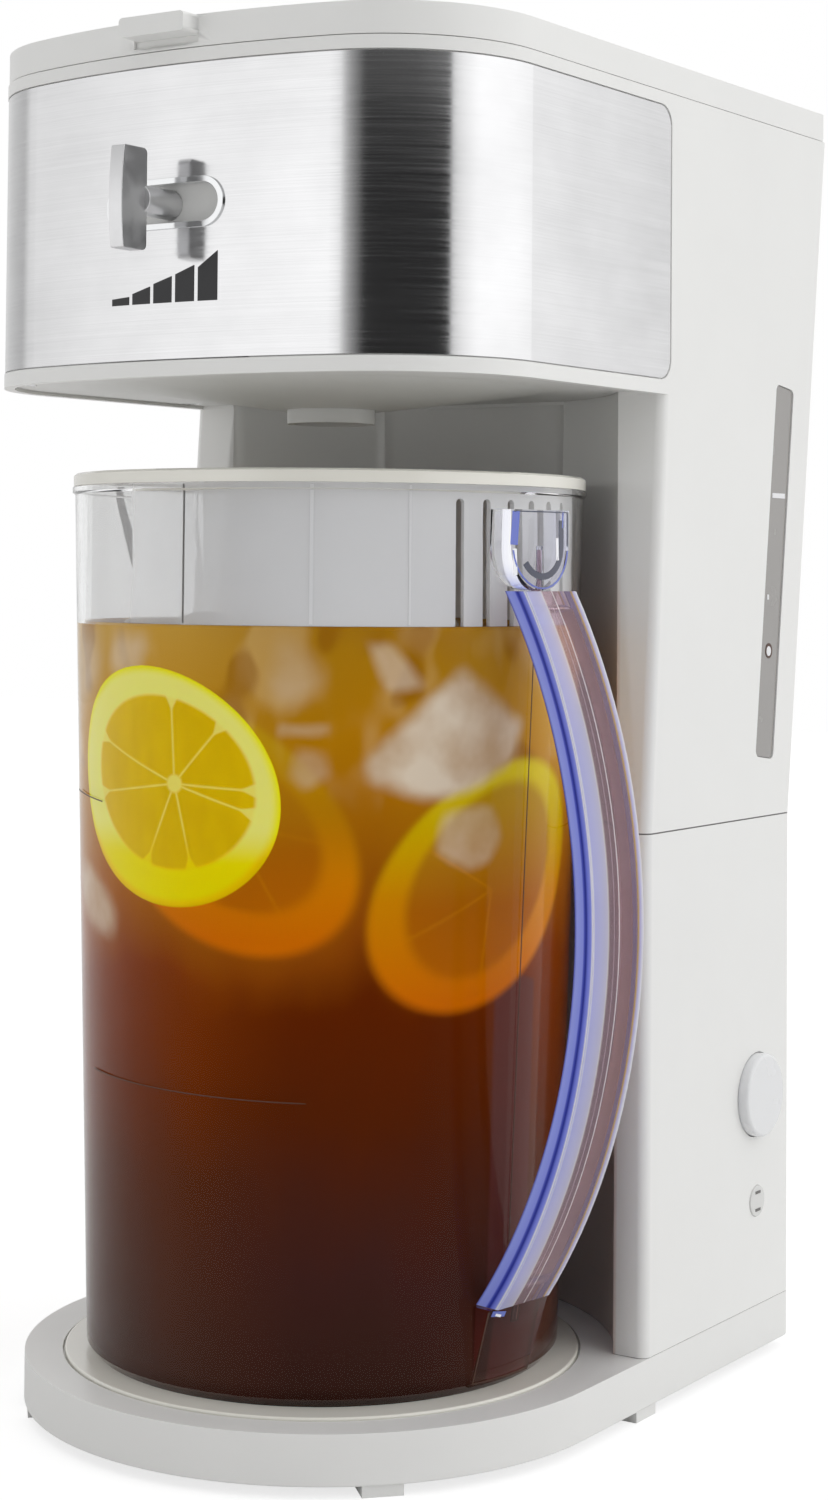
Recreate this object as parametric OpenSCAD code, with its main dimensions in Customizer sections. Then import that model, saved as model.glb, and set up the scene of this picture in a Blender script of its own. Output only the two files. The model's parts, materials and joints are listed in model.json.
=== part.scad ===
// Iced tea maker: a water tank tower, a brewing head and a clear pitcher on a round base.
// Every module is drawn about the pitcher axis (x = 0, y = 0), +X to the machine's right,
// +Y to its back and z = 0 on the table. The part's origin is the middle of its box on the table.

/* [Body] */
// Width of the base, tower and head
body_w = 170.2; // [166:0.2:176]
// Thickness of the moulded outer walls
wall = 3; // [2.6:0.1:3.2]
// Height of the seam between the lower tower and the upper housing
seam_z = 162.6; // [158:0.2:168]
// Clear height between the pitcher's lid and the underside of the head
head_clear = 24.3; // [20:0.1:34]
// Height of the head, from its underside to the seam under the lid
head_h = 86.9; // [84:0.1:94]
// Distance from the pitcher axis back to the rear of the lower tower
tower_back = 127.6; // [124:0.2:132]
// Distance from the pitcher axis back to the tower's front corners
tower_front = 36; // [34:0.5:38]
// How far the rear of the upper tower leans back, in degrees
lean_back = 6.95; // [5:0.05:8]
// How far the front corners of the upper tower lean back, in degrees
lean_front = 4; // [2:0.5:5]
// Radius of the rear and front corners of the tower
tower_corner_r = 3; // [2:0.2:5]
// Radius of the hollow in the tower's front that the pitcher stands in
bay_r = 83; // [82:0.2:85]

/* [Base] */
// Distance from the pitcher axis to the front of the base
base_front = 83.8; // [82:0.2:88]
// Height of the base moulding, above its feet
base_h = 13.5; // [12:0.5:16]
// Height of the feet
foot_h = 3; // [2:0.5:5]
// Radius of the round rest that the pitcher stands on
rest_r = 73; // [68:0.5:75]
// How deep the rest lies in the base
rest_depth = 1.5; // [1:0.1:2]
// Thickness of the rest
rest_t = 2.2; // [2:0.1:3]

/* [Head] */
// Distance from the pitcher axis to the front of the head
head_front = 78; // [76:0.5:82]
// Radius of the gently curved front of the head
front_arc_r = 220; // [180:5:300]
// Radius of the head's front corners
head_corner_r = 45; // [38:1:50]
// Height of the steel band's lower edge above the head's underside
band_up = 4.5; // [3.5:0.1:8]
// Gap between the steel band and the seam under the lid
band_drop = 4; // [3:0.1:8]
// Thickness of the steel band
band_t = 0.8; // [0.5:0.1:1]
// Distance from the pitcher axis back to the band's rear ends
band_back = 48.3; // [30:0.5:60]
// Height of the lid above its seam
lid_h = 8.9; // [8:0.1:11]
// Thickness of the lid's top and rim
lid_wall = 2.5; // [2:0.1:3]
// How far the lid's thumb tab stands out
tab_out = 6; // [4:0.5:9]
// Width of the lid's thumb tab
tab_w = 22; // [16:1:30]
// Radius of the lid's hinge pins
hinge_pin_r = 1.5; // [1.2:0.1:1.8]

/* [Strength selector] */
// Where the selector slot lies on the steel band, as a share of its height
slot_share = 0.528; // [0.45:0.002:0.6]
// Length of the slot's opening
slot_len = 36.5; // [32:0.5:40]
// Height of the slot's opening
slot_h = 10.4; // [9.6:0.2:12]
// Width of the trim's flange round the slot
trim_w = 1.6; // [1:0.1:2.5]
// Radius of the selector's stem
stem_r = 4; // [3:0.1:4.4]
// Thickness of the selector's paddle
paddle_t = 4.4; // [3.5:0.1:6]
// Height of the selector's paddle
paddle_h = 27; // [22:0.5:30]
// Depth of the selector's paddle, front to back
paddle_d = 10.3; // [8:0.1:12]
// Gap between the head's front and the paddle
paddle_gap = 9.2; // [6:0.1:12]

/* [Pitcher] */
// Outer radius of the pitcher's rim
pitcher_rim_r = 74; // [72:0.5:75]
// Outer radius of the pitcher at its foot
pitcher_foot_r = 66.9; // [64:0.5:70]
// Height of the pitcher, foot to rim
pitcher_h = 241.8; // [236:0.2:244]
// Thickness of the pitcher's wall
pitcher_wall = 2.6; // [2.2:0.1:3]
// Thickness of the pitcher's bottom
pitcher_floor = 3.2; // [2.8:0.1:5]
// How far the pitcher is turned on its rest, in degrees
pitcher_turn = -9; // [-15:1:15]
// How far the handle's widest point lies above the middle between its ends
handle_rise = 6.4; // [0:0.1:9]
// How far the handle bows out past its upper end
handle_bow = 23.7; // [20:0.1:26]
// Distance from the pitcher axis to the outermost point of the handle
handle_out = 107; // [102:0.1:110]
// Width of the handle
handle_w = 21; // [18:0.5:24]
// Depth of the handle, outside to inside
handle_d = 6.4; // [5.5:0.1:9]
// Thickness of the handle's walls
handle_t = 2.6; // [2.2:0.1:3.2]
// Height of the pitcher lid's disc
cap_h = 3.6; // [3:0.1:5]
// Depth of the translucent skirt under the pitcher lid
skirt_h = 38; // [30:0.5:44]
// Number of strainer slots in the skirt
strainer_slots = 6; // [4:1:8]

/* [Controls and gauge] */
// Radius of the power button
button_r = 12.35; // [11:0.05:13]
// How far the power button stands out of the side
button_out = 3.2; // [3:0.1:4]
// Height of the power button's centre
button_z = 79.5; // [74:0.5:86]
// Distance from the pitcher axis back to the button and indicator
button_y = 104.8; // [100:0.2:108]
// Height of the indicator's centre
lens_z = 47.7; // [42:0.2:52]
// Radius of the indicator's lens
lens_r = 4.65; // [4:0.05:5.5]
// Width of the water window
window_w = 11.7; // [9:0.1:13]
// Height of the bottom of the water window
window_low = 180.5; // [176:0.5:190]
// Height of the top of the water window
window_high = 294; // [270:0.5:310]
// Distance from the leaning back to the water window's centre
window_in = 20.4; // [18:0.2:26]
// Radius of the gauge float
float_r = 1.9; // [1.5:0.1:2.1]
// Height of the gauge float on its lower stop
float_z = 212.8; // [205:0.2:240]

/* [Inside] */
// Gap between the rim of the bowl that holds the brew basket and the selector's gate
bowl_gap = 4.5; // [4:0.1:8]
// Depth of the bowl's rim below the seam under the lid
bowl_drop = 32.4; // [30:0.1:40]
// Thickness of the bowl's wall
bowl_t = 2; // [1.6:0.1:2.4]
// Thickness of the brew basket's wall
basket_t = 1.8; // [1.4:0.1:2.2]
// Height of the brew basket's bottom above the bowl's
basket_up = 5; // [4:0.1:10]
// Depth of the tank's rim below the seam under the lid
tank_drop = 30.4; // [28:0.1:38]
// Thickness of the tank's wall
tank_t = 2; // [1.6:0.1:2.4]
// Gap between the tank and the side walls, where the gauge float runs
tank_gap = 5.2; // [5:0.1:6]
// Outer radius of the drip outlet
outlet_r = 12.7; // [11:0.1:14]
// Bore radius of the drip outlet
outlet_bore_r = 10.9; // [9:0.1:11.5]
// Outer radius of the heater's water pipe and the riser
pipe_r = 4.5; // [4:0.1:4.7]
// Wall thickness of the water pipes
pipe_t = 1.2; // [0.8:0.1:1.4]
// Half the distance between the heater's two legs
heater_half = 22; // [18:0.5:24]
// Bore radius of the cord gland
gland_bore_r = 3.6; // [3:0.1:4.2]

/* [Hidden] */
$fn = 96;
// Gap between pieces of different bodies, and a looser one round covers
gap = 0.3;
// Running clearance of pins and stems in their holes
run = 0.05;
// Overshoot of cuts
eps = 1;
half_w = body_w / 2;
base_z = foot_h + base_h;
rest_z = base_z - rest_depth + rest_t;
// The front of the base is a half circle as wide as the body
base_arc_y = half_w - base_front;
// Centre of the head's front arc and of its corner arcs
arc_y = front_arc_r - head_front;
corner_x = half_w - head_corner_r;
corner_y = arc_y - sqrt(pow(front_arc_r - head_corner_r, 2) - pow(corner_x, 2));
// Heights of the pitcher and what lies on it
foot_z = rest_z + gap;
rim_z = foot_z + pitcher_h;
cap_z = rim_z + gap;
taper = (pitcher_rim_r - pitcher_foot_r) / pitcher_h;
// Heights of the head, its steel band and its selector
head_z = cap_z + cap_h + head_clear;
top_z = head_z + head_h;
band_low = head_z + band_up;
band_h = head_h - band_up - band_drop;
slot_z = band_low + slot_share * band_h;
tank_rim_z = top_z - tank_drop;
// Rear of the body at the top seam, and the places of the lid's hinge
top_back = tower_back + (top_z - seam_z) * tan(lean_back);
lid_top = top_z + lid_h;
hinge_r = 3;
hinge_y = top_back - hinge_r;
hinge_z = top_z + hinge_r + 1.2;
ear_x = 45;
ear_w = 8;
lug_w = 9;
// Box of the whole part, which its origin is centred in
box_left = half_w;
box_right = handle_out * cos(pitcher_turn) + handle_w / 2 * abs(sin(pitcher_turn));
box_front = head_front + paddle_gap + paddle_d;
origin_x = (box_right - box_left) / 2;
origin_y = (top_back - box_front) / 2;
// The head's floor and the drip way
floor_t = 2;
floor_z = head_z + 1;
dome_r = 60;
dome_drop = 6;
outlet_low = floor_z - dome_drop - 4;
bowl_y = -2;
bowl_z = floor_z + floor_t;
bowl_floor_z = bowl_z + 2.5;
bowl_top = top_z - bowl_drop;
basket_z = bowl_floor_z + basket_up;
bowl_flange = 2;
basket_flange = 2;
partition_top = tank_rim_z + 1;
// The riser, the pipes below it and the tank in front of which they stand
riser_y = bay_r + wall + pipe_r + 2;
tank_front_r = riser_y + pipe_r + 1;
tank_in = wall + tank_gap;
tank_z = seam_z + 9.4;
nozzle_z = bowl_top + 25;
nozzle_bend = 12;
nozzle_end = riser_y - nozzle_bend - 11;
heater_x = -2 * heater_half;
heater_low = 55;
heater_top = 130;
hose_r = 5.9;
rod_r = 4;
// The selector's guide behind the head's front wall
gate_r = front_arc_r - wall - gap;
gate_t = 2.2;
gate_half = slot_len / 2 + 13.5;
gate_h = slot_h + 2.6;
// The bowl reaches forwards to its gap behind the gate
bowl_r = head_front - wall - gap - gate_t - bowl_gap + bowl_y - bowl_flange;
// The switch behind the button
button_travel = 2.5;
button_flange = 2.4;
stem_end = half_w - wall - 13;
switch_d = 14;
switch_x = stem_end - button_travel - gap;
plate_t = 2;
// Screws
screw_r = 1.5;
screw_head_r = 3;
screw_head_h = 2;
boss_r = 4;
side_boss_x = half_w - wall / 2 - boss_r - 0.4;
rear_boss_x = half_w - 29.1;
base_boss = [for (s = [-1, 1], p = [
  [half_w - 23.1, -30], [30, 15.8 - base_front], [half_w - 15.1, tower_back - 15.6]
]) [s * p[0], p[1]]];
tower_boss = [for (s = [-1, 1], p = [
  [side_boss_x, tower_front + 24], [rear_boss_x, tower_back - 6.6]
]) [s * p[0], p[1]]];
upper_boss = [for (s = [-1, 1]) [s * side_boss_x, tower_front + 26]];
// The rear cover's rebate in the lower tower
cover_half = half_w - 25.1;
cover_low = 30;
cover_high = 150;
cover_t = 1.4;
cover_ledge = 6;
cover_boss = [for (x = [-1, 1], z = [cover_low + 3, cover_high - 3]) [x * (cover_half - 10), z]];
// The head cover's screws: two beside the tower, two in the head's rounded corners
corner_boss = (head_corner_r - 6) / sqrt(2);
head_boss = [for (s = [-1, 1], p = [
  [half_w - 6.6, tower_front - 2], [corner_x + corner_boss, corner_y - corner_boss]
]) [s * p[0], p[1]]];
gland_x = -42;
gland_z = 46;
gland_r = 6;
foot_angles = [-43.5, -136.5];

// Moves a module from the pitcher axis to the part's origin
module placed() {
  translate([-origin_x, -origin_y, 0]) children();
}

// A flat outline drawn in Y and Z, made solid along X from x0 to x1
module along_x(x0, x1) {
  translate([x0, 0, 0]) rotate([90, 0, 90]) linear_extrude(x1 - x0) children();
}

// A flat outline drawn in X and Z, made solid along Y from y0 to y1
module along_y(y0, y1) {
  translate([0, y1, 0]) rotate([90, 0, 0]) linear_extrude(y1 - y0) children();
}

// A flat outline drawn in X and Y, made solid from z0 to z1
module up_z(z0, z1) {
  translate([0, 0, z0]) linear_extrude(z1 - z0) children();
}

module tube(r_out, r_in, z0, z1) {
  translate([0, 0, z0]) difference() {
    cylinder(r = r_out, h = z1 - z0);
    translate([0, 0, -eps]) cylinder(r = r_in, h = z1 - z0 + 2 * eps);
  }
}

module round_box(x0, x1, y0, y1, r) {
  translate([x0 + r, y0]) square([x1 - x0 - 2 * r, y1 - y0]);
  translate([x0, y0 + r]) square([x1 - x0, y1 - y0 - 2 * r]);
  for (x = [x0 + r, x1 - r], y = [y0 + r, y1 - r]) translate([x, y]) circle(r);
}

// A box as wide as the body whose rear corners alone are round
module rear_box(half, y0, y1, r) {
  translate([-half, y0]) square([2 * half, y1 - r - y0]);
  translate([r - half, y0]) square([2 * (half - r), y1 - y0]);
  for (s = [-1, 1]) translate([s * (half - r), y1 - r]) circle(r);
}

module stadium(len, h) {
  square([len - h, h], center = true);
  for (s = [-1, 1]) translate([s * (len - h) / 2, 0]) circle(h / 2);
}

// Radius of the tower's corners, a distance i inside its outer faces
function corner_in(i) = max(tower_corner_r - i / 2, 0.8);

// Outlines seen from above, drawn a distance i inside the outer faces
module base_plan(i) {
  translate([0, base_arc_y]) circle(half_w - i);
  rear_box(half_w - i, base_arc_y, tower_back - i, tower_corner_r);
}

module head_plan(i, back) {
  r = front_arc_r - i;
  tangent_x = corner_x * r / (front_arc_r - head_corner_r);
  translate([i - half_w, corner_y]) square([2 * (half_w - i), back - corner_y]);
  for (s = [-1, 1]) translate([s * corner_x, corner_y]) circle(head_corner_r - i);
  intersection() {
    translate([0, arc_y]) circle(r, $fn = 360);
    translate([-tangent_x, -head_front]) square([2 * tangent_x, corner_y + head_front]);
  }
}

module top_plan(i) {
  head_plan(i, tower_front);
  rear_box(half_w - i, tower_front - eps, top_back - i, tower_corner_r);
}

// The tower's plan, whose front is hollowed round the pitcher
module tower_plan(i) {
  difference() {
    round_box(i - half_w, half_w - i, tower_front + i, tower_back - i, corner_in(i));
    circle(bay_r + i);
  }
}

// The leaning upper tower, i inside its outer faces, between two heights.
// The upright box trims the two leaning outlines flush with the sides.
module leaning_block(i, z0, z1, r_front) {
  half = half_w - i;
  over = half + 0.02;
  difference() {
    intersection() {
      translate([0, tower_back, seam_z]) rotate([-lean_back, 0, 0]) up_z(-60, 300)
        rear_box(over, -150, -i, tower_corner_r);
      translate([0, tower_front, seam_z]) rotate([-lean_front, 0, 0]) up_z(-60, 300)
        round_box(-over, over, i, 170, corner_in(i));
      translate([-half, 0, z0]) cube([2 * half, 200, z1 - z0]);
    }
    if (r_front > 0) translate([0, 0, z0 - eps]) cylinder(r = r_front, h = z1 - z0 + 2 * eps);
  }
}

module screw(len) {
  cylinder(r = screw_r, h = len);
  difference() {
    translate([0, 0, -screw_head_h]) cylinder(r = screw_head_r, h = screw_head_h);
    translate([0, 0, -screw_head_h - eps]) intersection() {
      cylinder(r = 1.6, h = eps + 1);
      union() {
        translate([-0.4, -2, 0]) cube([0.8, 4, 3]);
        translate([-2, -0.4, 0]) cube([4, 0.8, 3]);
      }
    }
  }
}

// Hole of a screw that stands at the origin, its head below z = 0
module screw_hole(len) {
  cylinder(r = screw_r + run, h = len);
  translate([0, 0, -screw_head_h - 20]) cylinder(r = screw_head_r + gap, h = screw_head_h + 20);
}

cover_under = foot_h + 0.6;
cover_top = cover_under + 2;
base_screw_len = 6;

module base_shell() {
  placed() color("#dcdcda") difference() {
    union() {
      difference() {
        up_z(foot_h, base_z) base_plan(0);
        up_z(foot_h - eps, base_z - rest_depth - 2) base_plan(wall);
      }
      for (p = base_boss) translate([p[0], p[1], cover_top]) cylinder(r = boss_r, h = base_z - 3 - cover_top);
      for (p = tower_boss) translate([p[0], p[1], base_z - 5.5]) cylinder(r = boss_r + 1, h = 4);
    }
    translate([0, 0, base_z - rest_depth]) cylinder(r = rest_r + 0.6, h = rest_depth + eps);
    for (p = base_boss) translate([p[0], p[1], cover_top - eps])
      cylinder(r = screw_r + run, h = base_screw_len + eps);
    for (p = tower_boss) translate([p[0], p[1], base_z - 5.5]) screw_hole(10);
    for (x = [-40, 40]) translate([x - 12, 96, base_z - 12]) cube([24, 14, 20]);
  }
}

module base_cover() {
  placed() color("#c8c8c6") difference() {
    up_z(cover_under, cover_top) base_plan(wall + gap);
    for (p = base_boss) translate([p[0], p[1], foot_h]) {
      cylinder(r = screw_r + gap, h = 6);
      translate([0, 0, -eps]) cylinder(r = screw_head_r + gap, h = eps + 1.4);
    }
    for (p = foot_places()) translate([p[0], p[1], 0]) cylinder(r = foot_peg_r + run, h = 10);
    for (x = [-30:10:30]) translate([x - 2, 30, 0]) cube([4, 40, 10]);
  }
}

foot_peg_r = 2;
foot_d = 10;
rear_foot_in = 30;
// Two feet at the front, two at the sides and two further in at the rear
function foot_places() = concat(
  [for (a = foot_angles) (base_front - foot_d / 2 - wall - 1) * [cos(a), sin(a)]],
  [for (s = [-1, 1]) [s * (half_w - foot_d / 2 - wall - 1), 37.5]],
  [for (s = [-1, 1]) [s * (half_w - rear_foot_in), tower_back - 26]]
);
function foot_turn(k) = k < 2 ? foot_angles[k] : (k % 2 == 0 ? 180 : 0);

module feet() {
  placed() color("#e2e2e0") for (k = [0:5]) {
    p = foot_places()[k];
    translate([p[0], p[1], 0]) {
      cylinder(r = foot_peg_r, h = cover_top);
      rotate([0, 0, foot_turn(k)]) difference() {
        translate([-foot_d / 2, -5.5, 0])
          cube([foot_d + wall + 0.5, 11, k < 4 ? foot_h : cover_under]);
        translate([-foot_d / 2 - eps, -6, -eps]) cube([2, 12, eps + 1]);
      }
    }
  }
}

module base_screws() {
  placed() color("silver") for (p = base_boss) translate([p[0], p[1], foot_h + 1.4])
    screw(base_screw_len - 1);
}

module pitcher_rest() {
  placed() color("#e8e2d4") up_z(base_z - rest_depth, rest_z) circle(rest_r);
}

tower_top_t = 2.6;

module lower_tower_shell() {
  placed() color("#e6e6e4") difference() {
    union() {
      difference() {
        up_z(base_z, seam_z) tower_plan(0);
        up_z(base_z - eps, seam_z - tower_top_t) tower_plan(wall);
      }
      intersection() {
        up_z(base_z, base_z + 12) tower_plan(wall / 2);
        for (p = tower_boss) translate([p[0], p[1], base_z]) cylinder(r = boss_r, h = 12);
      }
      // Frame behind the rear cover, with a boss for each of its screws
      along_y(tower_back - wall - 2, tower_back - wall) difference() {
        translate([-cover_half - 3, cover_low - 3])
          square([2 * cover_half + 6, cover_high - cover_low + 6]);
        translate([-cover_half + cover_ledge, cover_low + cover_ledge])
          square([2 * (cover_half - cover_ledge), cover_high - cover_low - 2 * cover_ledge]);
      }
    }
    along_y(tower_back - wall - 10, tower_back + eps)
      translate([-cover_half + cover_ledge, cover_low + cover_ledge])
        square([2 * (cover_half - cover_ledge), cover_high - cover_low - 2 * cover_ledge]);
    along_y(tower_back - cover_t, tower_back + eps) translate([-cover_half, cover_low])
      square([2 * cover_half, cover_high - cover_low]);
    for (p = cover_boss) translate([p[0], tower_back - 6, p[1]]) rotate([-90, 0, 0])
      cylinder(r = screw_r + run, h = 10);
    for (p = tower_boss) translate([p[0], p[1], base_z - eps]) cylinder(r = screw_r + run, h = 9);
    // The button and the indicator come through the right side
    translate([half_w - wall - eps, button_y, button_z]) rotate([0, 90, 0])
      cylinder(r = button_r + gap, h = wall + 2 * eps);
    translate([half_w - wall - eps, button_y, lens_z]) rotate([0, 90, 0])
      cylinder(r = lens_r + run, h = wall + 2 * eps);
    // Water ways and screws through the top
    translate([0, riser_y, seam_z - 10]) cylinder(r = pipe_r + 1, h = 20);
    translate([heater_x, riser_y, seam_z - 10]) cylinder(r = pipe_r + 1, h = 20);
    for (p = upper_boss) translate([p[0], p[1], seam_z - tower_top_t]) screw_hole(10);
  }
}

module tower_screws() {
  placed() color("silver") for (p = tower_boss) translate([p[0], p[1], base_z - 5.5]) screw(12);
}

module rear_cover() {
  placed() color("#dededc") difference() {
    along_y(tower_back - cover_t, tower_back)
      round_box(gap - cover_half, cover_half - gap, cover_low + gap, cover_high - gap, 1.5);
    for (p = cover_boss) translate([p[0], tower_back - 4, p[1]]) rotate([-90, 0, 0])
      cylinder(r = screw_r + run, h = 10);
    translate([gland_x, tower_back - 5, gland_z]) rotate([-90, 0, 0])
      cylinder(r = gland_r + run, h = 10);
    for (z = [100:6:130]) translate([-30, tower_back - 5, z]) cube([60, 10, 2.4]);
  }
}

module rear_cover_screws() {
  placed() color("silver") for (p = cover_boss) translate([p[0], tower_back, p[1]])
    rotate([90, 0, 0]) screw(5);
}

module cord_gland() {
  placed() color("#3a3a3c") translate([gland_x, 0, gland_z]) rotate([-90, 0, 0]) difference() {
    union() {
      translate([0, 0, tower_back - 10]) cylinder(r = gland_r, h = 12);
      translate([0, 0, tower_back]) cylinder(r = gland_r + 2, h = 2.5);
      translate([0, 0, tower_back - cover_t - 2.5]) cylinder(r = gland_r + 1.6, h = 2.5);
    }
    translate([0, 0, tower_back - 12]) cylinder(r = gland_bore_r, h = 20);
  }
}

// The steel band's side outline, which is round at its rear ends
module band_side(extra) {
  round_box(-2 * head_front, band_back + extra, band_low - extra, band_low + band_h + extra, 6);
}

module slot_cut(len, h) {
  translate([0, 0, slot_z]) along_y(-head_front - 10, -head_front + 20) stadium(len, h);
}

window_y = tower_back - window_in / cos(lean_back);

// The leaning water window's outline, grown by extra on every side
module window_side(extra) {
  low = (window_low - seam_z) / cos(lean_back);
  high = (window_high - seam_z) / cos(lean_back);
  translate([window_y, seam_z]) rotate(-lean_back)
    round_box(-window_w / 2 - extra, window_w / 2 + extra, low - extra, high + extra, 2);
}

module hinge_outline(r) {
  translate([hinge_y, hinge_z]) circle(r);
  translate([hinge_y - r, top_z - 3]) square([2 * r, hinge_z - top_z + 3]);
}

module upper_housing() {
  placed() color("#e6e6e4") difference() {
    union() {
      up_z(head_z, top_z) head_plan(0, tower_front + 40);
      leaning_block(0, seam_z, head_z + eps, bay_r);
      leaning_block(0, head_z, top_z, 0);
      for (s = [-1, 1]) along_x(s * ear_x - ear_w / 2, s * ear_x + ear_w / 2) hinge_outline(hinge_r);
    }
    // The space in the head, in front of the wall that closes the tower
    up_z(head_z - eps, partition_top) intersection() {
      head_plan(wall, tower_front + 40);
      union() {
        circle(bay_r);
        translate([-half_w, -2 * head_front]) square([body_w, 2 * head_front + head_wall_y]);
      }
    }
    // The space in the tower, and the open top over both
    leaning_block(wall, seam_z + wall, partition_top + eps, bay_r + wall);
    up_z(partition_top, top_z + eps) head_plan(wall, tower_front + 40);
    leaning_block(wall, partition_top, top_z + eps, 0);
    // The steel band's recess and the selector's slot
    intersection() {
      up_z(band_low - 2, band_low + band_h + 2) difference() {
        head_plan(-2, tower_front + 20);
        head_plan(band_in + band_t + 0.1, tower_front + 21);
      }
      along_x(-half_w - 5, half_w + 5) band_side(0.4);
    }
    slot_cut(slot_len + 1.6, slot_h + 1.6);
    along_x(half_w - wall - eps, half_w + eps) window_side(gap / 2);
    translate([0, riser_y, seam_z - eps]) cylinder(r = pipe_r + 1, h = 10);
    translate([heater_x, riser_y, seam_z - eps]) cylinder(r = pipe_r + 1, h = 10);
    for (p = upper_boss) translate([p[0], p[1], seam_z - eps]) cylinder(r = screw_r + run, h = 10);
    along_x(-ear_x - ear_w, ear_x + ear_w) translate([hinge_y, hinge_z]) circle(hinge_pin_r + run);
  }
  placed() color("#e6e6e4") gate_rails();
  // Bosses that the head's bottom cover is screwed to
  placed() color("#e6e6e4") intersection() {
    for (p = head_boss) translate([p[0], p[1], floor_z + 4]) difference() {
      cylinder(r = boss_r, h = 10);
      translate([0, 0, -eps]) cylinder(r = screw_r + run, h = 8);
    }
    up_z(head_z, top_z) head_plan(wall / 2, tower_front + 40);
  }
}

band_in = 0.2;
head_wall_y = tower_front + (head_z - seam_z) * tan(lean_front) - 0.4;

// Two curved ribs with lips behind the head's front wall, which hold the selector's gate
module gate_rails() {
  edge = gate_h / 2;
  for (s = [-1, 1]) intersection() {
    translate([0, arc_y, slot_z + s * (edge + gap + 1)]) {
      tube(front_arc_r - wall + 0.5, gate_r - gate_t - 2, -1, 1);
      tube(gate_r - gate_t - gap, gate_r - gate_t - 2, -1 - (1 + s), 1 + (1 - s));
    }
    translate([-40, -head_front, slot_z - edge - 5]) cube([80, 14, gate_h + 10]);
  }
}

module housing_screws() {
  placed() color("silver") for (p = upper_boss) translate([p[0], p[1], seam_z - tower_top_t])
    screw(5);
}

module steel_front_band() {
  placed() color("#b9bcc0") difference() {
    intersection() {
      up_z(band_low, band_low + band_h) difference() {
        head_plan(band_in, tower_front + 20);
        head_plan(band_in + band_t, tower_front + 21);
      }
      along_x(-half_w - 5, half_w + 5) band_side(0);
    }
    slot_cut(slot_len + 1.7, slot_h + 1.7);
  }
}

// A stadium ring round the slot between two distances behind the head's front
module slot_ring(len, h, inset_out, inset_in) {
  intersection() {
    difference() {
      slot_cut(len, h);
      slot_cut(slot_len, slot_h);
    }
    translate([0, arc_y, 0])
      tube(front_arc_r - inset_out, front_arc_r - inset_in, slot_z - 20, slot_z + 20);
  }
}

module slot_trim() {
  placed() color("#d4d6d8") {
    slot_ring(slot_len + 2 * trim_w, slot_h + 2 * trim_w, band_in - 0.7, band_in);
    slot_ring(slot_len + 1.5, slot_h + 1.5, band_in, wall - 0.2);
  }
}

paddle_arc_r = 110;

module strength_knob() {
  paddle_y = -head_front - paddle_gap - paddle_d;
  placed() color("#d2d3d4") {
    translate([0, paddle_y + paddle_d - eps, slot_z]) rotate([-90, 0, 0])
      cylinder(r = stem_r, h = paddle_gap + wall + gap + gate_t + 2);
    intersection() {
      along_x(-paddle_t / 2, paddle_t / 2)
        round_box(paddle_y, paddle_y + paddle_d, slot_z - paddle_h / 2, slot_z + paddle_h / 2, 1.5);
      translate([-paddle_t, paddle_y + paddle_arc_r, slot_z]) rotate([0, 90, 0])
        cylinder(r = paddle_arc_r, h = 2 * paddle_t);
    }
  }
}

module strength_gate() {
  placed() color("#c9cbcd") difference() {
    intersection() {
      translate([0, arc_y, 0])
        tube(gate_r, gate_r - gate_t, slot_z - gate_h / 2, slot_z + gate_h / 2);
      translate([-gate_half, -head_front, slot_z - gate_h]) cube([2 * gate_half, 12, 2 * gate_h]);
    }
    translate([0, -head_front - 5, slot_z]) rotate([-90, 0, 0]) cylinder(r = stem_r + run, h = 20);
  }
}

module head_bottom_cover() {
  placed() color("#cfcfce") difference() {
    union() {
      up_z(floor_z, floor_z + floor_t) intersection() {
        head_plan(wall + gap, tower_front + 40);
        union() {
          circle(bay_r - gap);
          translate([-half_w, -2 * head_front])
            square([body_w, 2 * head_front + head_wall_y - gap]);
        }
      }
      for (p = head_boss) translate([p[0], p[1], floor_z]) intersection() {
        cylinder(r = boss_r + 1, h = 4);
        translate([-p[0], -p[1], 0]) up_z(-1, 5) head_plan(wall + gap, tower_front + 40);
      }
      rotate_extrude() polygon([
        [outlet_r + gap, floor_z - dome_drop], [outlet_r + 3, floor_z - dome_drop],
        [dome_r + 1, floor_z], [dome_r + 1, floor_z + floor_t], [outlet_r + gap, bowl_floor_z - 2]
      ]);
    }
    rotate_extrude() polygon([
      [0, floor_z - 20], [outlet_r + gap, floor_z - 20], [outlet_r + gap, bowl_floor_z - 2],
      [outlet_r + 3, bowl_floor_z - 2], [outlet_r + 3, floor_z - dome_drop + floor_t],
      [dome_r, floor_z + floor_t - 0.2], [dome_r, floor_z + 20], [0, floor_z + 20]
    ]);
    for (p = head_boss) translate([p[0], p[1], floor_z + screw_head_h]) screw_hole(10);
  }
}

module head_screws() {
  placed() color("silver") for (p = head_boss) translate([p[0], p[1], floor_z + screw_head_h])
    screw(7);
}

module drip_outlet() {
  placed() color("#d9d9d7") difference() {
    union() {
      translate([0, 0, outlet_low]) cylinder(r = outlet_r, h = bowl_floor_z - outlet_low);
      translate([0, 0, bowl_floor_z - 2]) cylinder(r = outlet_r + 3.5, h = 2);
    }
    translate([0, 0, outlet_low - eps]) cylinder(r = outlet_bore_r, h = 40);
  }
}

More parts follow.
